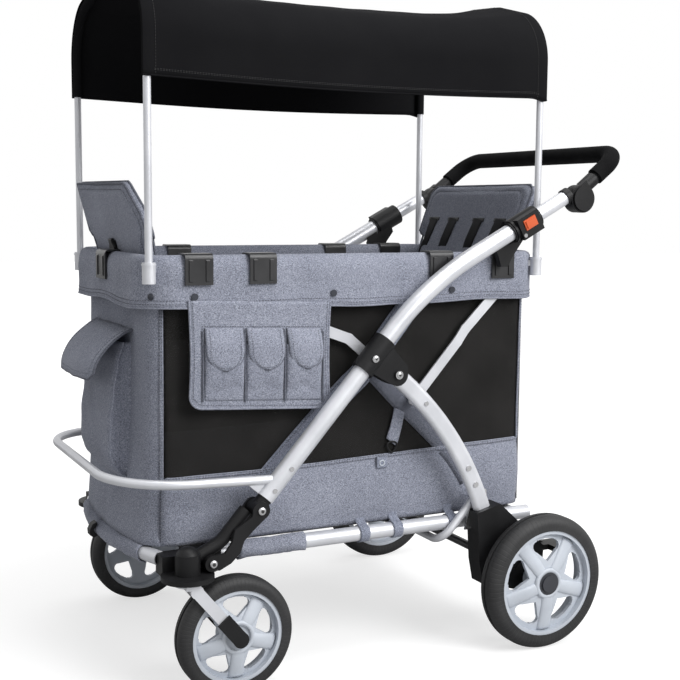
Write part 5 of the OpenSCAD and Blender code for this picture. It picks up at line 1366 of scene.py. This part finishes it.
over_hoop = (-8.6, -7.4, -4, 0, 4, 7.4, 10.5)
stations = [front_post + d for d in over_hoop] + heights(front_post + 20, rear_post - 20, 11)
stations += [rear_post - d for d in reversed(over_hoop)]
roof = cloth("canopy_sheet", [roof_row(x, sleeve_lift(x)) for x in stations], roof_black, 1.3)
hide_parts("canopy_cloth")
black_thread = moulded("black_thread", (0.012, 0.012, 0.013), (0.02, 0.02, 0.021), (0.6, 0.7), 0.0,
    2500.0, 0.0002)
seams = [roof_row(x, 8.6) for x in (front_post + 11.5, rear_post - 11.5)]
for up in (0, 2):
    for edge in (1, -2):
        line = [roof_row(x, 8.9)[edge] for x in stations[6:-6]]
        seams.append([(x, y, z + up) for x, y, z in line])
roof_pieces = [roof, stitches("canopy_stitches", seams, black_thread, 4.5, 3.2, 0.45)]
for x, label in ((front_post, "front"), (rear_post, "rear")):
    path = [(x, y, z) for y, z in roof_arch(0.0)]
    roof_pieces.append(rolled_edge("canopy_sleeve_" + label, path, 8.3, roof_black))
for edge, label in ((0, "near"), (-1, "far")):
    path = [roof_row(x, 7.8)[edge] for x in stations]
    roof_pieces.append(rolled_edge("canopy_hem_" + label, path, 1.5, roof_black))
fix("canopy", "black_cloth", *roof_pieces)


# Push handle: a foam grip on the bow between two round joints, and an orange patch button on each arm collar
# that lets the slide tube out.


def cells(tree, place):
    """The open cells in the skin of foam."""
    return put(tree, "ShaderNodeTexVoronoi", {"Vector": place, "Scale": 520.0}).outputs["Distance"]


grip_foam = dull("grip_foam", cells, 0.45, 0.0006, (25.0, 3.0),
    (0.005, 0.005, 0.0055), (0.0095, 0.0095, 0.010), 0.85, 0.06)
dress(grip_foam, "handle_grip")
button_orange = moulded("button_orange", (0.56, 0.085, 0.02), (0.68, 0.12, 0.03), (0.3, 0.42), 0.0,
    1500.0, 0.0001)
dress(button_orange, "button_near", "button_far")


# Studio: a pale floor, a broad soft key from the near side and a weak lamp above.
# Background rays see plain white, and the floor brightens to the same white away from the object's shadow.

white = (1.0, 1.0, 1.0, 1.0)


def pale_floor(tree, place):
    far_off = put(tree, "ShaderNodeVectorMath", {0: place}, operation="LENGTH").outputs["Value"]
    seen = put(tree, "ShaderNodeLightPath").outputs["Is Camera Ray"]
    return {"Base Color": shades(tree, cloudy(tree, place, 0.6, 2.0), (0.3, (0.50,) * 3), (0.7, (0.52,) * 3)),
        "Roughness": 0.9, "Specular IOR Level": 0.0, "Emission Color": white,
        "Emission Strength": sums(tree, "MULTIPLY", seen, stretch(tree, far_off, 0.7, 2.6, 0.64, 1.0))}


corners = [(-14, -14, 0), (14, -14, 0), (14, 14, 0), (-14, 14, 0)]
add_mesh("floor", corners, [(0, 1, 2, 3)], new_finish("floor_white", pale_floor))

world = bpy.data.worlds.new("studio")
world.use_nodes = True
bpy.context.scene.world = world
sky = world.node_tree
ray = put(sky, "ShaderNodeLightPath").outputs
seen = sums(sky, "MAXIMUM", ray["Is Camera Ray"], ray["Is Glossy Ray"])
through = sums(sky, "MAXIMUM", seen, ray["Is Transmission Ray"])
feed(sky, sky.nodes["Background"], {"Color": white, "Strength": stretch(sky, through, 0.0, 1.0, 0.45, 1.0)})


def lamp(name, place, size, power, aim=(0.0, 0.0, 0.55)):
    """A round soft lamp, turned to the middle of the wagon."""
    light = bpy.data.lights.new(name, "AREA")
    light.shape = "DISK"
    light.size = size
    light.energy = power
    stand = add(name, light)
    stand.location = place
    stand.rotation_euler = (Vector(aim) - Vector(place)).to_track_quat("-Z", "Y").to_euler()


lamp("key", (1.6, -3.2, 2.6), 2.6, 140.0)
lamp("top", (0.2, -0.4, 3.6), 2.4, 62.0)

yaw, pitch, roll = math.radians(26.58), math.radians(6.52), math.radians(0.465)
forward = Vector((math.sin(yaw) * math.cos(pitch), math.cos(yaw) * math.cos(pitch), -math.sin(pitch)))
right = Vector((math.cos(yaw), -math.sin(yaw), 0))
upward = right.cross(forward)
right, upward = (right * math.cos(roll) + upward * math.sin(roll),
    upward * math.cos(roll) - right * math.sin(roll))
lens = bpy.data.cameras.new("camera")
lens.lens = 61.62
lens.sensor_width = 36.0
camera = add("camera", lens)
stand = Matrix((right, upward, -forward)).transposed().to_4x4()
stand.translation = (-0.9511, -1.9401, 0.7770)
camera.matrix_world = stand
bpy.context.scene.camera = camera
bpy.context.scene.view_settings.view_transform = "Standard"
